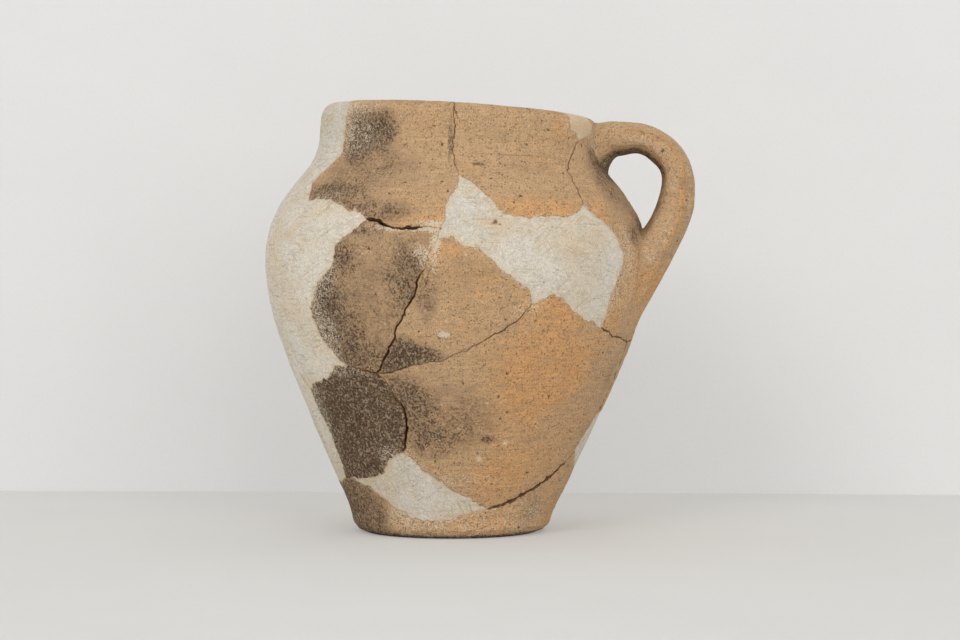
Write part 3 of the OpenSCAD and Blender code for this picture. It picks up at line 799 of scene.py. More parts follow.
class Nodes:
    """A small helper for writing material node trees."""

    def __init__(self, name):
        self.mat = bpy.data.materials.new(name)
        self.mat.use_nodes = True
        self.tree = self.mat.node_tree
        self.tree.nodes.clear()
        self.out = self.node("OutputMaterial")
        self.coord = self.node("TexCoord").outputs["Object"]

    def node(self, kind):
        return self.tree.nodes.new("ShaderNode" + kind)

    def put(self, socket, value):
        """Links an output to a socket, or sets the socket to a plain value."""
        if hasattr(value, "links"):
            self.tree.links.new(value, socket)
        else:
            socket.default_value = value

    def math(self, op, a, b=0.0, c=None, clamp=False):
        n = self.node("Math")
        n.operation, n.use_clamp = op, clamp
        self.put(n.inputs[0], a)
        self.put(n.inputs[1], b)
        if c is not None:
            self.put(n.inputs[2], c)
        return n.outputs[0]

    def add(self, a, b):
        return self.math("ADD", a, b)

    def times(self, a, b):
        return self.math("MULTIPLY", a, b)

    def line(self, x, slope, start, clamp=False):
        """x times slope, plus start."""
        return self.math("MULTIPLY_ADD", x, slope, start, clamp)

    def scaled(self, grain, stretch=(1, 1, 1), turn=(0, 0, 0)):
        """Object coordinates counted in grains of so many mm, turned first and then stretched."""
        n = self.node("Mapping")
        n.vector_type = "TEXTURE"
        self.put(n.inputs["Vector"], self.coord)
        n.inputs["Scale"].default_value = [grain * MM * s for s in stretch]
        n.inputs["Rotation"].default_value = turn
        return n.outputs[0]

    def noise(self, grain, detail=3.0, rough=0.55, stretch=(1, 1, 1), turn=(0, 0, 0), warp=0.0):
        """Noise whose grain is in mm; stretch draws it out along an axis."""
        n = self.node("TexNoise")
        self.put(n.inputs["Vector"], self.scaled(grain, stretch, turn))
        n.inputs["Scale"].default_value = 1.0
        n.inputs["Detail"].default_value = detail
        n.inputs["Roughness"].default_value = rough
        n.inputs["Distortion"].default_value = warp
        return n.outputs["Fac"]

    def cells(self, grain):
        """Crumbs of so many mm, each with its own colour and the distance from its middle."""
        n = self.node("TexVoronoi")
        self.put(n.inputs["Vector"], self.scaled(grain))
        n.inputs["Scale"].default_value = 1.0
        return n

    def attr(self, name):
        """One of the vertex fields."""
        n = self.node("Attribute")
        n.attribute_name = name
        return n.outputs["Fac"]

    def step(self, x, lo, hi, to_lo=0.0, to_hi=1.0):
        """A soft step of x from to_lo, at lo and below, to to_hi, at hi and above."""
        n = self.node("MapRange")
        n.interpolation_type = "SMOOTHSTEP"
        self.put(n.inputs["Value"], x)
        for key, value in (("From Min", lo), ("From Max", hi), ("To Min", to_lo), ("To Max", to_hi)):
            n.inputs[key].default_value = value
        return n.outputs["Result"]

    def mix(self, fac, a, b):
        """Colour a where fac is 0 and colour b where it is 1."""
        n = self.node("Mix")
        n.data_type = "RGBA"
        self.put(n.inputs[0], fac)
        self.put(n.inputs[6], a)
        self.put(n.inputs[7], b)
        return n.outputs[2]

    def sum(self, *terms):
        """Sum of noises times their weights, each taken about its middle of 0.5."""
        total = -0.5 * sum(weight for _, weight in terms)
        for value, weight in terms:
            total = self.line(value, weight, total)
        return total

    def gain(self, color, factor):
        """A colour made lighter or darker by a factor."""
        n = self.node("VectorMath")
        n.operation = "SCALE"
        self.put(n.inputs[0], color if hasattr(color, "links") else color[:3])
        self.put(n.inputs["Scale"], factor)
        return n.outputs[0]

    def dots(self, cells, channel, share, inner, outer, uneven):
        """Uneven dots at the middle of the cells whose colour channel is above a share."""
        pick = self.node("SeparateColor")
        self.put(pick.inputs[0], cells.outputs["Color"])
        shape = self.add(cells.outputs["Distance"], self.sum((uneven, 1.3)))
        near = self.step(shape, inner, outer, 1.0, 0.0)
        return self.times(near, self.step(pick.outputs[channel], share, share + 0.03))

    def speck(self, grain):
        """A grey of its own for each crumb of that size in mm."""
        n = self.node("SeparateColor")
        self.put(n.inputs[0], self.cells(grain).outputs["Color"])
        return n.outputs[2]

    def bump(self, height, distance):
        """A bump of that many mm for a height of 1."""
        n = self.node("Bump")
        self.put(n.inputs["Height"], height)
        n.inputs["Distance"].default_value = distance * MM
        return n.outputs["Normal"]

    def surface(self, color, normal, roughness):
        n = self.node("BsdfPrincipled")
        self.put(n.inputs["Base Color"], color)
        self.put(n.inputs["Normal"], normal)
        self.put(n.inputs["Roughness"], roughness)
        n.inputs["Specular IOR Level"].default_value = 0.18
        self.tree.links.new(n.outputs[0], self.out.inputs["Surface"])
        return self.mat


def clay(name):
    """Sandy, unglazed earthenware with soot and painted shade, wear, dirt in cracks, plaster smears and
    painted light.
    """
    m = Nodes(name)
    big, mid, small = m.noise(24, 2.0), m.noise(6, 3.0), m.noise(2.4, 2.0)
    fine, grain = m.noise(0.95, 2.0, 0.6), m.noise(0.42, 2.0, 0.8)
    crumb, lump = m.speck(0.52), m.speck(0.95)
    streak = m.noise(2.0, 3.0, 0.6, stretch=(18, 18, 1))
    hair = m.noise(0.6, 2.0, 0.6, stretch=(14, 14, 1))
    warm = m.add(m.attr("warm"), m.line(big, 1.6, -0.75))
    warm = m.add(warm, m.line(small, 0.9, -0.45))
    col = m.mix(m.step(warm, 0.0, 1.0), srgb(198, 164, 126), srgb(213, 163, 112))
    dull = m.add(m.times(mid, 0.6), m.times(streak, 0.5))
    col = m.mix(m.step(dull, 0.48, 0.72, 0.0, 0.5), col, srgb(168, 140, 108))
    # Lighter where the pale field is up: plaster dust on the sherds, and painted light on the lower foot
    col = m.gain(col, m.line(m.attr("pale"), 0.22, 1.0))
    # Grain: every size of sand shows a little darker or lighter
    tone = m.sum(
        (crumb, 0.12), (grain, 1.9), (fine, 0.5), (small, 0.4), (mid, 0.4), (hair, 0.5), (streak, 0.3),
    )
    tone = m.math("MINIMUM", tone, 0.13)
    col = m.gain(col, m.add(tone, 1.055))
    sand = m.cells(0.9)
    dark = m.dots(sand, 0, 0.6, 0.12, 0.36, grain)
    light = m.dots(sand, 1, 0.84, 0.1, 0.34, grain)
    grit = m.cells(2.3)
    big_dark = m.dots(grit, 0, 0.82, 0.06, 0.2, fine)
    big_light = m.dots(grit, 1, 0.9, 0.04, 0.16, fine)
    col = m.mix(m.times(light, 0.2), col, srgb(226, 204, 170))
    col = m.mix(m.times(dark, 0.6), col, srgb(104, 74, 50))
    # Soot, and the painted shade in the same field, lies as dark pepper with bare, ashy grains between
    soot_and_shade = m.attr("soot_and_shade")
    haze = m.step(m.add(soot_and_shade, m.sum((small, 0.8), (mid, 0.7))), 0.0, 0.9, 0.0, 0.75)
    haze = m.times(haze, m.step(soot_and_shade, 0.0, 0.2))
    col = m.mix(haze, col, m.gain(srgb(138, 115, 92), m.add(tone, 1.0)))
    mottle = m.sum((crumb, 2.3), (lump, 0.6), (grain, 6.0), (fine, 3.0), (small, 1.8), (mid, 1.3))
    amount = m.line(mottle, m.step(soot_and_shade, 0.05, 0.6), m.add(soot_and_shade, -0.17), True)
    black = m.mix(m.step(mid, 0.35, 0.65), srgb(60, 46, 37), srgb(78, 62, 49))
    black = m.gain(black, m.add(m.sum((crumb, 0.5), (grain, 2.2), (fine, 1.0)), 1.0))
    col = m.mix(m.times(amount, 0.92), col, black)
    ash = m.times(m.step(m.add(m.speck(0.6), m.sum((small, 1.2))), 0.8, 0.86),
                 m.step(m.add(soot_and_shade, m.sum((mid, 1.2))), 0.35, 0.8))
    col = m.mix(m.times(ash, 0.5), col, srgb(194, 176, 146))
    col = m.mix(m.times(big_dark, 0.75), col, srgb(76, 54, 38))
    col = m.mix(m.times(big_light, 0.6), col, srgb(222, 206, 178))
    # Fresh clay where an edge is chipped, and plaster rubbed over the sherds
    col = m.mix(m.step(m.add(m.attr("chip"), m.sum((fine, 0.8))), 0.25, 0.7, 0.0, 0.6),
                col, srgb(206, 162, 116))
    near_fill = m.step(m.add(m.attr("fill"), m.sum((small, 2.0), (fine, 1.0))), 0.05, 0.5, 0.42, 0.0)
    pale = m.add(m.add(m.attr("pale"), near_fill), m.sum((grain, 4.5), (fine, 2.6)))
    smear = m.step(m.add(m.attr("pale"), near_fill), 0.0, 0.16, 0.12, 1.0)
    col = m.mix(m.times(m.step(pale, 0.42, 0.72, 0.0, 0.85), smear), col, srgb(224, 211, 188))
    # Dirt in the mouth of a crack, rusty where it is thin, and bare clay inside it; broken faces are
    # painted darker, partly as painted shade in the crack
    gape = m.attr("gape")
    mouth = m.add(m.attr("crack"), m.sum((fine, 0.6), (small, 0.4)))
    dirt = m.times(m.step(mouth, 0.02, 0.34, 1.0, 0.0), m.step(gape, 0.02, 0.7, 0.4, 0.85))
    col = m.mix(dirt, col, m.mix(m.step(gape, 0.3, 1.0), srgb(122, 78, 47), srgb(78, 52, 36)))
    bare_and_shaded_clay = m.mix(mid, srgb(150, 108, 70), srgb(172, 134, 96))
    bare_and_shaded_clay = m.mix(m.step(m.attr("inside"), 0.7, 0.9), srgb(112, 72, 43), bare_and_shaded_clay)
    col = m.mix(m.step(m.attr("inside"), 0.1, 0.5), col, m.gain(bare_and_shaded_clay, m.add(tone, 1.0)))
    height = m.sum((grain, 0.8), (fine, 0.6), (small, 0.45), (hair, 0.3))
    height = m.line(dark, -0.16, height)
    height = m.line(light, 0.1, height)
    return m.surface(col, m.bump(height, 0.7), m.step(fine, 0.2, 0.8, 0.84, 0.97))


def plaster(name):
    """Pale plaster, rubbed down and brushed, with stains, pinholes and scratches."""
    m = Nodes(name)
    big, mid, small = m.noise(20, 2.0), m.noise(5, 3.0), m.noise(2.2, 2.0)
    fine, grain = m.noise(0.9, 3.0), m.noise(0.42, 2.0, 0.8)
    col = m.mix(m.step(big, 0.38, 0.62), srgb(209, 202, 190), srgb(206, 195, 177))
    col = m.mix(m.step(mid, 0.5, 0.72, 0.0, 0.45), col, srgb(206, 188, 158))
    col = m.gain(col, m.line(m.attr("pale"), 0.2, 1.0))
    scratch = None
    for k, slope in enumerate((0.38, -0.7, 0.05, 1.1)):
        line = m.noise(0.5, 1.0, 0.5, stretch=(16, 16, 1), turn=(0, slope, 0.2), warp=0.3)
        line = m.times(m.step(line, 0.58, 0.68), m.step(m.noise(7 + 2 * k, 1.0), 0.46, 0.58))
        scratch = line if scratch is None else m.math("MAXIMUM", scratch, line)
    col = m.mix(m.times(scratch, 0.36), col, srgb(160, 140, 110))
    tone = m.sum((m.speck(0.52), 0.09), (grain, 1.1), (fine, 0.45), (small, 0.2))
    col = m.gain(col, m.add(tone, 1.0))
    grit = m.cells(1.5)
    dark = m.dots(grit, 0, 0.84, 0.05, 0.2, fine)
    col = m.mix(m.times(dark, 0.55), col, srgb(146, 118, 86))
    # Clay dust rubbed over the edges beside the sherds, a thin dark seam, and stains
    edge = m.step(m.add(m.attr("fill"), m.sum((mid, 6.0), (small, 3.0))), 0.0, 1.7, 0.5, 0.0)
    stain = m.math("MAXIMUM", edge, m.attr("warm"))
    col = m.mix(m.times(stain, m.step(fine, 0.35, 0.6, 0.35, 1.0)), col, srgb(208, 178, 138))
    seam = m.step(m.add(m.attr("fill"), m.sum((fine, 0.5))), 0.08, 0.34, 1.0, 0.0)
    col = m.mix(m.times(seam, m.step(mid, 0.42, 0.58, 0.1, 0.6)), col, srgb(146, 112, 76))
    spot = m.step(m.add(m.attr("soot_and_shade"), m.sum((fine, 1.2))), 0.25, 0.7, 0.0, 0.85)
    col = m.mix(m.times(spot, m.step(m.attr("soot_and_shade"), 0.02, 0.15)), col, srgb(122, 88, 58))
    col = m.mix(m.step(m.attr("inside"), 0.1, 0.5), col, m.gain(srgb(200, 188, 166), m.add(tone, 1.0)))
    height = m.sum((grain, 0.4), (fine, 0.6), (small, 0.4))
    height = m.line(scratch, -0.15, height)
    return m.surface(col, m.bump(height, 0.4), m.step(fine, 0.2, 0.8, 0.86, 0.97))


CLAY, PLASTER = clay("earthenware"), plaster("plaster_fill")

# ---- Pieces made over the pot's surface: outline and mesh step in mm, coarser toward the back
RIM = "rim"
FINE = 0.45
SHEETS = {
    "rim_sherd_left": (["a_low", "a_d", "a_fill", "a_b", (RIM, -1.2, -52), "a_left"], FINE),
    "rim_sherd_middle": (["b_fill", "b_c", "b_patch", (RIM, 51, -1.2), "-a_b"], FINE),
    "body_sherd_left": (["d_g", "-d_e", "-d_fill", "-a_d", "d_left"], FINE),
    "body_sherd_middle": (["e_f", "-e_fill", "d_e"], FINE),
    "lower_sherd_right": (["f_foot", "f_h", "f_right", "f_back", "-c_f", "-f_fill", "-e_f", "f_g"], FINE),
    "lower_sherd_left": (["g_h", "g_foot", "-f_g", "-d_g", "g_left"], FINE),
    "fill_shoulder": (["e_fill", "f_fill", "-c_fill", "-b_fill", "-a_fill", "d_fill"], FINE),
    "fill_foot": (["h_foot", "-f_foot", "-g_foot"], FINE),
    "fill_right": (["right_h", "right_back", "-f_right"], 0.7),
    "fill_rim_patch": (["c_patch", (RIM, 72, 51), "-b_patch"], FINE),
    "fill_left": (
        ["left_h", "-g_left", "-d_left", "-a_low", "-a_left", (RIM, -52, -108), "-left_back"], 0.65,
    ),
    "back_sherd": (["back_h", "left_back", (RIM, 252, 122), "-c_back", "-f_back", "-right_back"], 0.85),
}
for name, (parts, step) in SHEETS.items():
    is_fill = name.startswith("fill")
    loop = outline(parts, wrap=180 if name == "fill_left" else None)
    verts, faces, smooth, fields, _ = closed_piece(name, loop, step, is_fill)
    finish_piece(name, verts, faces, smooth, fields, PLASTER if is_fill else CLAY)

# ---- Base sherd: a ring of columns from the underside up to its broken edge
RING_START = LINES["h_foot"][0][0] - 0.0001
N_UNDER, N_UP = 10, 34
BASE_EDGE_T = 6.0
ring = []
for part in ("h_foot", "f_h", "right_h", "back_h", "left_h", "g_h"):
    a, s, w, c = ROUGH[part]
    a = np.where(a < RING_START * AZ_SCALE, a + 2 * math.pi, a)
    ring.append(np.c_[a, s, w, c][:-1])
ring = np.vstack(ring)
n_col = len(ring)
even = ring[0, 0] + np.linspace(0, 2 * math.pi, n_col, endpoint=False)
rows = [(even, np.full(n_col, FOOT_S * t)) for t in np.linspace(0, 1, N_UNDER + 2)[1:]]
for j in range(1, N_UP + 1):
    t = 1 - (1 - j / N_UP) ** 1.25
    rows.append((even + (ring[:, 0] - even) * ramp(t, 0.2, 1.0) ** 2, FOOT_S + (ring[:, 1] - FOOT_S) * t))
az_f = np.concatenate([r[0] for r in rows])
s_f = np.concatenate([r[1] for r in rows])
ring_p = on_outer(ring[:, 0], ring[:, 1])[0]
base_p = on_outer(az_f, s_f)[0]
is_crack = ring[:, 3] > 0.5
d_crack = nearest(base_p, ring_p[is_crack])[0]
d_fill = nearest(base_p, ring_p[~is_crack])[0]
col_id = np.tile(np.arange(n_col), len(rows))
d_edge = np.abs(s_f - ring[col_id, 1])
width = evened(ring[:, 2])
s_pull = s_f - 0.5 * width[col_id] * near_edge(d_edge) * (s_f > FOOT_S)
outer, n_out = on_outer(az_f, s_pull)
drop, chip = worn_edges(outer, d_crack, d_fill, width[col_id], False)
d = relief(outer, "base_sherd", False, az_f, outer[:, 2]) - drop
d *= ramp(s_f, FOOT_S - 2, FOOT_S + 3)
outer = outer + n_out * d[:, None]
# Chips along the foot's lower edge, and a flat resting face once the pot leans
foot_chip = ramp(noise(outer / 3.1, 41), 0.25, 0.8) * np.exp(-((s_f - FOOT_S) / 1.6) ** 2)
outer -= np.c_[np.sin(az_f), -np.cos(az_f), np.zeros(len(az_f))] * (0.9 * foot_chip)[:, None]
outer[:, 2] += outer[:, 0] * math.tan(LEAN) * (1 - ramp(s_f, FOOT_S, FOOT_S + 12))
inner = on_inner(az_f, s_f)
inner[:, 2] += 0.2 * noise(inner / 6, 42) * (d_edge > 0.5)
deep = np.clip(crack_depth(width) / BASE_EDGE_T, 0.05, 0.8)
mid_ring = ring_p + (on_inner(ring[:, 0], ring[:, 1]) - ring_p) * deep[:, None]
n = len(az_f)
centre = np.array([[0, 0, 0.0], [0, 0, FLOOR_T]])
verts = np.vstack([outer, inner, mid_ring, centre])
idx = np.arange(n).reshape(len(rows), n_col)
nxt = np.roll(idx, -1, 1)
quads_out = np.stack([idx[:-1], nxt[:-1], nxt[1:], idx[1:]], -1).reshape(-1, 4)
quads_in = quads_out[:, ::-1] + n
top, top_n = idx[-1], nxt[-1]
ring_i = 2 * n + np.arange(n_col)
ring_n = np.roll(ring_i, -1)
side1 = np.c_[top_n, ring_n, ring_i, top][:, ::-1]
side2 = np.c_[ring_n, top_n + n, top + n, ring_i][:, ::-1]
fan_low = np.c_[nxt[0], idx[0], np.full(n_col, 2 * n + n_col)]
fan_in = np.c_[idx[0] + n, nxt[0] + n, np.full(n_col, 2 * n + n_col + 1)]
two = np.zeros(2)
fields = joined([
    looks_at("base_sherd", az_f, base_p[:, 2], crack=d_crack, gape=width[col_id], fill=d_fill, chip=chip),
    looks_at("", az_f, base_p[:, 2], inside=np.ones(n)),
    looks_at("base_sherd", ring[:, 0], ring_p[:, 2], crack=np.zeros(n_col), gape=width,
             inside=np.full(n_col, BROKEN)),
    looks_at("", two, two, inside=np.array([0.0, 1.0])),
])
faces = [quads_out, quads_in, side1, side2, fan_low, fan_in]
is_smooth = (True, True, False, False, False, True)
smooth = [np.full(len(f), kind) for f, kind in zip(faces, is_smooth)]
finish_piece("base_sherd", verts, faces, smooth, fields, CLAY)

# ---- Handle sherd: a sheet with two openings, joined by the lofted handle
HANDLE_AZ = math.radians(85)
HANDLE_T, HANDLE_W = 12.6, 19.0
BEND_R, SIDE_R = 15.0, 30.5
BEND_TURN, SIDE_TURN = math.radians(88), math.radians(115)
ROOT_S, HANDLE_Z = 80.2 - HANDLE_T / 2 - BEND_R, POT_H - 8.5
N_RING, N_FLARE, N_LINE = 84, 16, 120
UPPER_Z, LOWER_Z = 132.5, 87.0
theta = np.linspace(0, 2 * math.pi, N_RING, endpoint=False)


def centre_line():
    """Points along the handle's centre line in its plane, with heading, even in length."""
    pts = [(ROOT_S - d, HANDLE_Z) for d in np.arange(6, 0, -0.5)]
    for t in np.linspace(0, BEND_TURN, 40):
        pts.append((ROOT_S + BEND_R * math.sin(t), HANDLE_Z - BEND_R + BEND_R * math.cos(t)))
    s0 = ROOT_S + (BEND_R - SIDE_R) * math.sin(BEND_TURN)
    z0 = HANDLE_Z - BEND_R + (BEND_R - SIDE_R) * math.cos(BEND_TURN)
    for t in np.linspace(BEND_TURN, SIDE_TURN, 30)[1:]:
        pts.append((s0 + SIDE_R * math.sin(t), z0 + SIDE_R * math.cos(t)))
    p = np.array(pts)
    length = np.r_[0, np.cumsum(np.hypot(*np.diff(p, axis=0).T))]
    at = np.linspace(0, length[-1], N_LINE)
    p = np.c_[np.interp(at, length, p[:, 0]), np.interp(at, length, p[:, 1])]
    for _ in range(60):
        p[1:-1] = (p[:-2] + 2 * p[1:-1] + p[2:]) / 4
    return p


def footprint(zc, up, down, half_az, flip):
    """Loop on the wall where the handle grows out of it; theta 0 is the handle's outer side.

    up, down and half_az are its reach; flip is for the root that the handle meets from above.
    """
    c, s = np.cos(theta), np.sin(theta)
    rise = -c if flip else c
    z = zc + np.where(rise > 0, up, down) * np.sign(rise) * np.abs(rise) ** 0.9
    az = HANDLE_AZ + half_az * AZ_SCALE * np.sign(s) * np.abs(s) ** 0.95
    return np.c_[az, s_at(z)]


upper = footprint(UPPER_Z, 9.0, 10.5, 13.0, False)
lower = footprint(LOWER_Z, 17.2, 18.5, 17.5, True)
loop = outline(["c_f", "c_back", (RIM, 122, 72), "-c_patch", "-b_c", "c_fill"])
verts, faces, smooth, fields, hole_ids = closed_piece(
    "handle_sherd", loop, 0.5, False, holes=(upper, lower)
)
up_ids, low_ids = hole_ids[:N_RING], hole_ids[N_RING : 2 * N_RING]
plane_u = np.array([math.sin(HANDLE_AZ), -math.cos(HANDLE_AZ), 0])
plane_b = np.array([math.cos(HANDLE_AZ), math.sin(HANDLE_AZ), 0])
up_v = np.array([0, 0, 1.0])
line = centre_line()
heading = np.gradient(line, axis=0)
heading /= np.linalg.norm(heading, axis=1)[:, None]


def ring_at(k, t):
    """One cross-section of the handle at a share t of its length: a strap slimmed inside."""
    c, h = line[k], heading[k]
    out_n = np.array([-h[1], h[0]])
    a = HANDLE_T / 2 * (0.95 - 0.04 * math.sin(math.pi * t) + 0.2 * ramp(t, 0.55, 1.0))
    b = HANDLE_W / 2 * (1 + 0.16 * abs(2 * t - 1) ** 2)
    x = a * np.sign(np.cos(theta)) * np.abs(np.cos(theta)) ** 0.76
    slim = 0.24 * ramp(t, -0.05, 0.2) - 0.1 * math.exp(-(((t - 0.41) / 0.13) ** 2))
    x *= np.where(x < 0, 1 - slim, 1)
    y = b * np.sign(np.sin(theta)) * np.abs(np.sin(theta)) ** 0.82
    n3 = out_n[0] * plane_u + out_n[1] * up_v
    return c[0] * plane_u + c[1] * up_v + x[:, None] * n3 + y[:, None] * plane_b


def flare(loop_az_s, ids_of, ring_p, run, inward_pull, run_pull):
    """Rails from the wall footprint to a handle ring, leaving along the wall's surface."""
    start = verts[ids_of]
    toward = loop_az_s + (loop_az_s.mean(0) - loop_az_s) * 0.02
    tangent = on_outer(toward[:, 0], toward[:, 1])[0] - on_outer(loop_az_s[:, 0], loop_az_s[:, 1])[0]
    tangent /= np.linalg.norm(tangent, axis=1)[:, None]
    reach = np.linalg.norm(ring_p - start, axis=1)[:, None]
    rings = []
    for t in np.linspace(0, 1, N_FLARE + 2)[1:-1]:
        rings.append(hermite(start, tangent * reach * inward_pull, ring_p, run * reach * run_pull, t))
    return rings


def head3(k):
    """Heading of the centre line in the pot's own frame."""
    return heading[k, 0] * plane_u + heading[k, 1] * up_v


# The even strap runs between these points of the line; flares join its ends to the wall
k0, k1 = 4, N_LINE - 12
first_ring, last_ring = ring_at(k0, 0.0), ring_at(k1, 1.0)
tube = flare(upper, up_ids, first_ring, head3(k0), 0.55, 0.9)
tube += [ring_at(k, (k - k0) / (k1 - k0)) for k in range(k0, k1 + 1)]
tube += flare(lower, low_ids, last_ring, -head3(k1), 0.5, 0.75)[::-1]
tube = np.array(tube)
n0 = len(verts)
tube_ids = n0 + np.arange(tube.shape[0] * N_RING).reshape(-1, N_RING)
grid = np.vstack([up_ids, tube_ids, low_ids])
g_next = np.roll(grid, -1, 1)
tube_faces = np.stack([grid[:-1], g_next[:-1], g_next[1:], grid[1:]], -1).reshape(-1, 4)
flat_tube = tube.reshape(-1, 3)
# Normals of the lofted part, for its own relief
mid_k = len(tube) // 2
centre_mid = tube[mid_k].mean(0)
q = tube[mid_k]
face_n = np.cross(q[1] - q[0], tube[mid_k + 1][0] - q[0])
flip_n = 1
if face_n @ (q[0] - centre_mid) < 0:
    tube_faces, flip_n = tube_faces[:, ::-1], -1
around = np.roll(tube, -1, 1) - np.roll(tube, 1, 1)
along_t = np.gradient(tube, axis=0)
tube_n = np.cross(around, along_t) * flip_n
tube_n /= np.linalg.norm(tube_n, axis=2)[:, :, None]
tube_n = tube_n.reshape(-1, 3)
turn_id = np.tile(theta, len(tube))
length_id = np.repeat(np.arange(len(tube)), N_RING)
drawn = noise(np.c_[np.cos(turn_id) * 2.4, np.sin(turn_id) * 2.4, length_id / 60], 55)
d = 0.3 * drawn - 0.25 * ramp(noise(flat_tube / 1.5, 11), 0.62, 0.9)
for height, grain, seed in ((0.3, 13, 51), (0.12, 4.5, 52), (0.07, 2.2, 53), (0.07, 0.9, 54)):
    d += height * noise(flat_tube / grain, seed)
# A ridge runs down each side of the strap, with a worn channel behind it
t_id = length_id / (len(tube) - 1)
side_turn = np.minimum(turn_id, 2 * math.pi - turn_id) + 0.12 * noise(np.c_[t_id * 9, t_id, t_id], 56)
on_strap = ramp(t_id, 0.1, 0.22) * (1 - ramp(t_id, 0.9, 1.0))
ridge = np.exp(-(((side_turn - 1.25) / 0.13) ** 2)) * on_strap
channel = np.exp(-(((side_turn - 0.85) / 0.2) ** 2)) * on_strap
hole_side = ramp(side_turn, 2.0, 2.7)
d = d * (1 - 0.5 * hole_side) + 0.6 * ridge - 0.45 * channel
flat_tube = flat_tube + tube_n * d[:, None]
verts = np.vstack([verts, flat_tube])
faces.append(tube_faces)
smooth.append(np.ones(len(tube_faces), bool))
t_az = np.arctan2(flat_tube[:, 0], -flat_tube[:, 1])
tube_looks = looks_at("", t_az, flat_tube[:, 2])
tube_looks["warm"] = 0.35 * noise(flat_tube / 9, 57) + 1.1 * ridge + 0.5 * hole_side
tube_looks["warm"] += 0.6 * ramp(-flat_tube[:, 2], -104, -84)
# Painted shade: the side of the strap facing the opening is darkened, and the channel a little; the spots
# along the strap are dirt
tube_looks["soot_and_shade"] = (
    hole_side * (0.75 - 0.45 * ramp(t_id, 0.4, 0.75)) + 0.1 * channel + 0.2 * ridge
    + 0.12 * ramp(noise(flat_tube / 4, 58), 0.2, 0.7) * on_strap
)
tube_looks["pale"] = 0.02 + 0.14 * ramp(noise(flat_tube / 6, 59), 0.0, 0.6)
tube_looks["pale"] *= (1 - hole_side) * (1 - ridge)
fields = joined([fields, tube_looks])
finish_piece("handle_sherd", verts, faces, smooth, fields, CLAY)

# ---- Stage: a pale shelf, a pale wall, soft studio light, the camera
SHELF_COLOR, WALL_COLOR = srgb(221, 220, 217), srgb(226, 226, 226)
WALL_Y, WALL_TURN = 0.149, math.radians(-2.8)
SHELF_GLOW, WALL_GLOW, SKY_LIGHT = 0.32, 0.3, 0.68


def seen_by_camera(tree):
    """1 where a ray from the camera arrives straight, off a gloss or through glass."""
    path = tree.nodes.new("ShaderNodeLightPath")
    total = None
    for ray in ("Is Camera Ray", "Is Glossy Ray", "Is Transmission Ray"):
        if total is None:
            total = path.outputs[ray]
            continue
        n = tree.nodes.new("ShaderNodeMath")
        n.operation = "MAXIMUM"
        tree.links.new(total, n.inputs[0])
        tree.links.new(path.outputs[ray], n.inputs[1])
        total = n.outputs[0]
    return total


def backdrop(name, color, size, place, turn, glow, one_sided=False):
    """A flat painted board; glow is the share of its own colour that the camera sees plain."""
    mesh = bpy.data.meshes.new(name)
    w, h = size[0] / 2, size[1] / 2
    mesh.from_pydata([(-w, -h, 0), (w, -h, 0), (w, h, 0), (-w, h, 0)], [], [(0, 1, 2, 3)])
    ob = bpy.data.objects.new(name, mesh)
    ob.location, ob.rotation_euler = place, turn
    bpy.context.collection.objects.link(ob)
    m = Nodes(name)
    paint = m.gain(color, m.add(m.sum((m.noise(1.2, 3.0), 0.06), (m.noise(60, 3.0), 0.05)), 1.0))
    mat = m.surface(paint, m.bump(m.noise(2, 3.0), 0.02), 0.9)
    tree, lit = m.tree, m.out.inputs["Surface"].links[0].from_socket
    plain, blend = tree.nodes.new("ShaderNodeEmission"), tree.nodes.new("ShaderNodeMixShader")
    tree.links.new(paint, plain.inputs["Color"])
    tree.links.new(m.times(seen_by_camera(tree), glow), blend.inputs[0])
    tree.links.new(lit, blend.inputs[1])
    tree.links.new(plain.outputs[0], blend.inputs[2])
    shown = blend.outputs[0]
    if one_sided:
        # From behind, the board isn't there
        back, clear = tree.nodes.new("ShaderNodeNewGeometry"), tree.nodes.new("ShaderNodeBsdfTransparent")
        side = tree.nodes.new("ShaderNodeMixShader")
        tree.links.new(back.outputs["Backfacing"], side.inputs[0])
        tree.links.new(shown, side.inputs[1])
        tree.links.new(clear.outputs[0], side.inputs[2])
        shown = side.outputs[0]
    tree.links.new(shown, m.out.inputs["Surface"])
    ob.data.materials.append(mat)


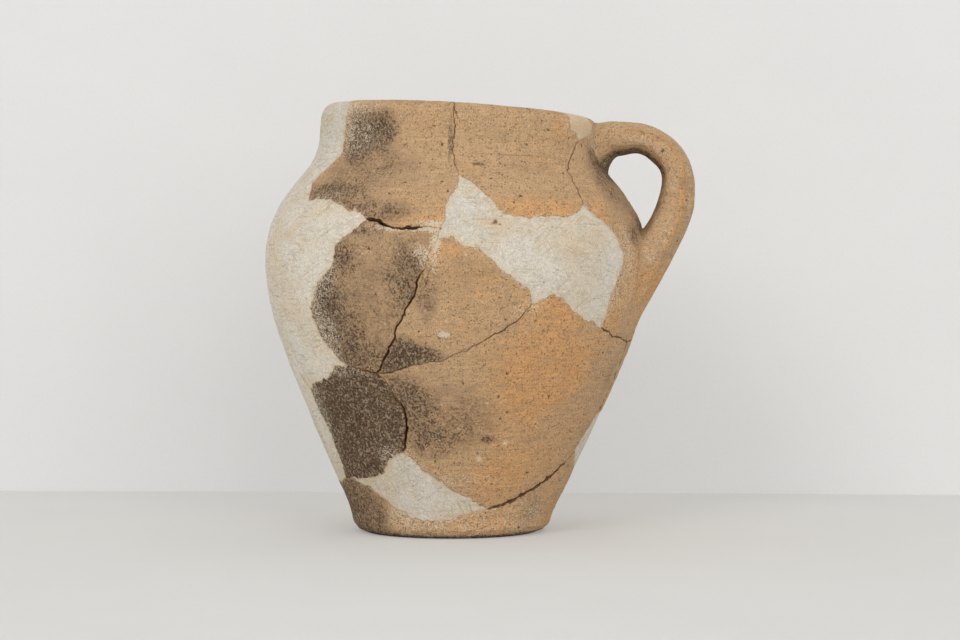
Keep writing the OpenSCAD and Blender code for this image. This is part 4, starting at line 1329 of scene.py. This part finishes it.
backdrop("shelf", SHELF_COLOR, (6.0, 6.0), (0, 0, 0), (0, 0, 0), SHELF_GLOW)
WALL_PLACE, WALL_STANDS = (0, WALL_Y, 1.5), (math.radians(90), 0, WALL_TURN)
backdrop("wall", WALL_COLOR, (6.0, 3.0), WALL_PLACE, WALL_STANDS, WALL_GLOW, one_sided=True)

world = bpy.data.worlds.new("studio")
bpy.context.scene.world = world
world.use_nodes = True
sky, tree = world.node_tree.nodes["Background"], world.node_tree
sky.inputs[0].default_value = (1.0, 0.99, 0.975, 1)
sky.inputs[1].default_value = SKY_LIGHT
seen = tree.nodes.new("ShaderNodeBackground")
seen.inputs[0].default_value = WALL_COLOR
seen.inputs[1].default_value = 1.0
either = tree.nodes.new("ShaderNodeMixShader")
tree.links.new(seen_by_camera(tree), either.inputs[0])
tree.links.new(sky.outputs[0], either.inputs[1])
tree.links.new(seen.outputs[0], either.inputs[2])
tree.links.new(either.outputs[0], tree.nodes["World Output"].inputs["Surface"])


def area(name, place, target, size, power, color):
    """A square soft lamp at a place, aimed at a target."""
    light = bpy.data.lights.new(name, "AREA")
    light.shape, light.size, light.energy, light.color = "SQUARE", size, power, color
    ob = bpy.data.objects.new(name, light)
    ob.location = place
    ob.rotation_euler = (Vector(target) - Vector(place)).to_track_quat("-Z", "Y").to_euler()
    bpy.context.collection.objects.link(ob)


area("key", (-0.84, -1.76, 1.1), (0, 0, 0.05), 0.8, 11.6, (1.0, 0.99, 0.97))
area("bounce", (1.0, -2.1, 0.9), (0, 0, 0.08), 1.6, 15.8, (1.0, 0.985, 0.96))

CAM_D, CAM_X, CAM_Z, CAM_DIP = 0.8, 0.0098, 0.081, 0.674
camera_data = bpy.data.cameras.new("camera")
camera_data.lens = 88.0
camera_data.sensor_width = 36.0
camera = bpy.data.objects.new("camera", camera_data)
camera.location = (CAM_X, -CAM_D, CAM_Z)
camera.rotation_euler = (math.radians(90 - CAM_DIP), 0, 0)
bpy.context.collection.objects.link(camera)
bpy.context.scene.camera = camera
camera_data.clip_start = 0.01
bpy.context.scene.view_settings.view_transform = "Standard"
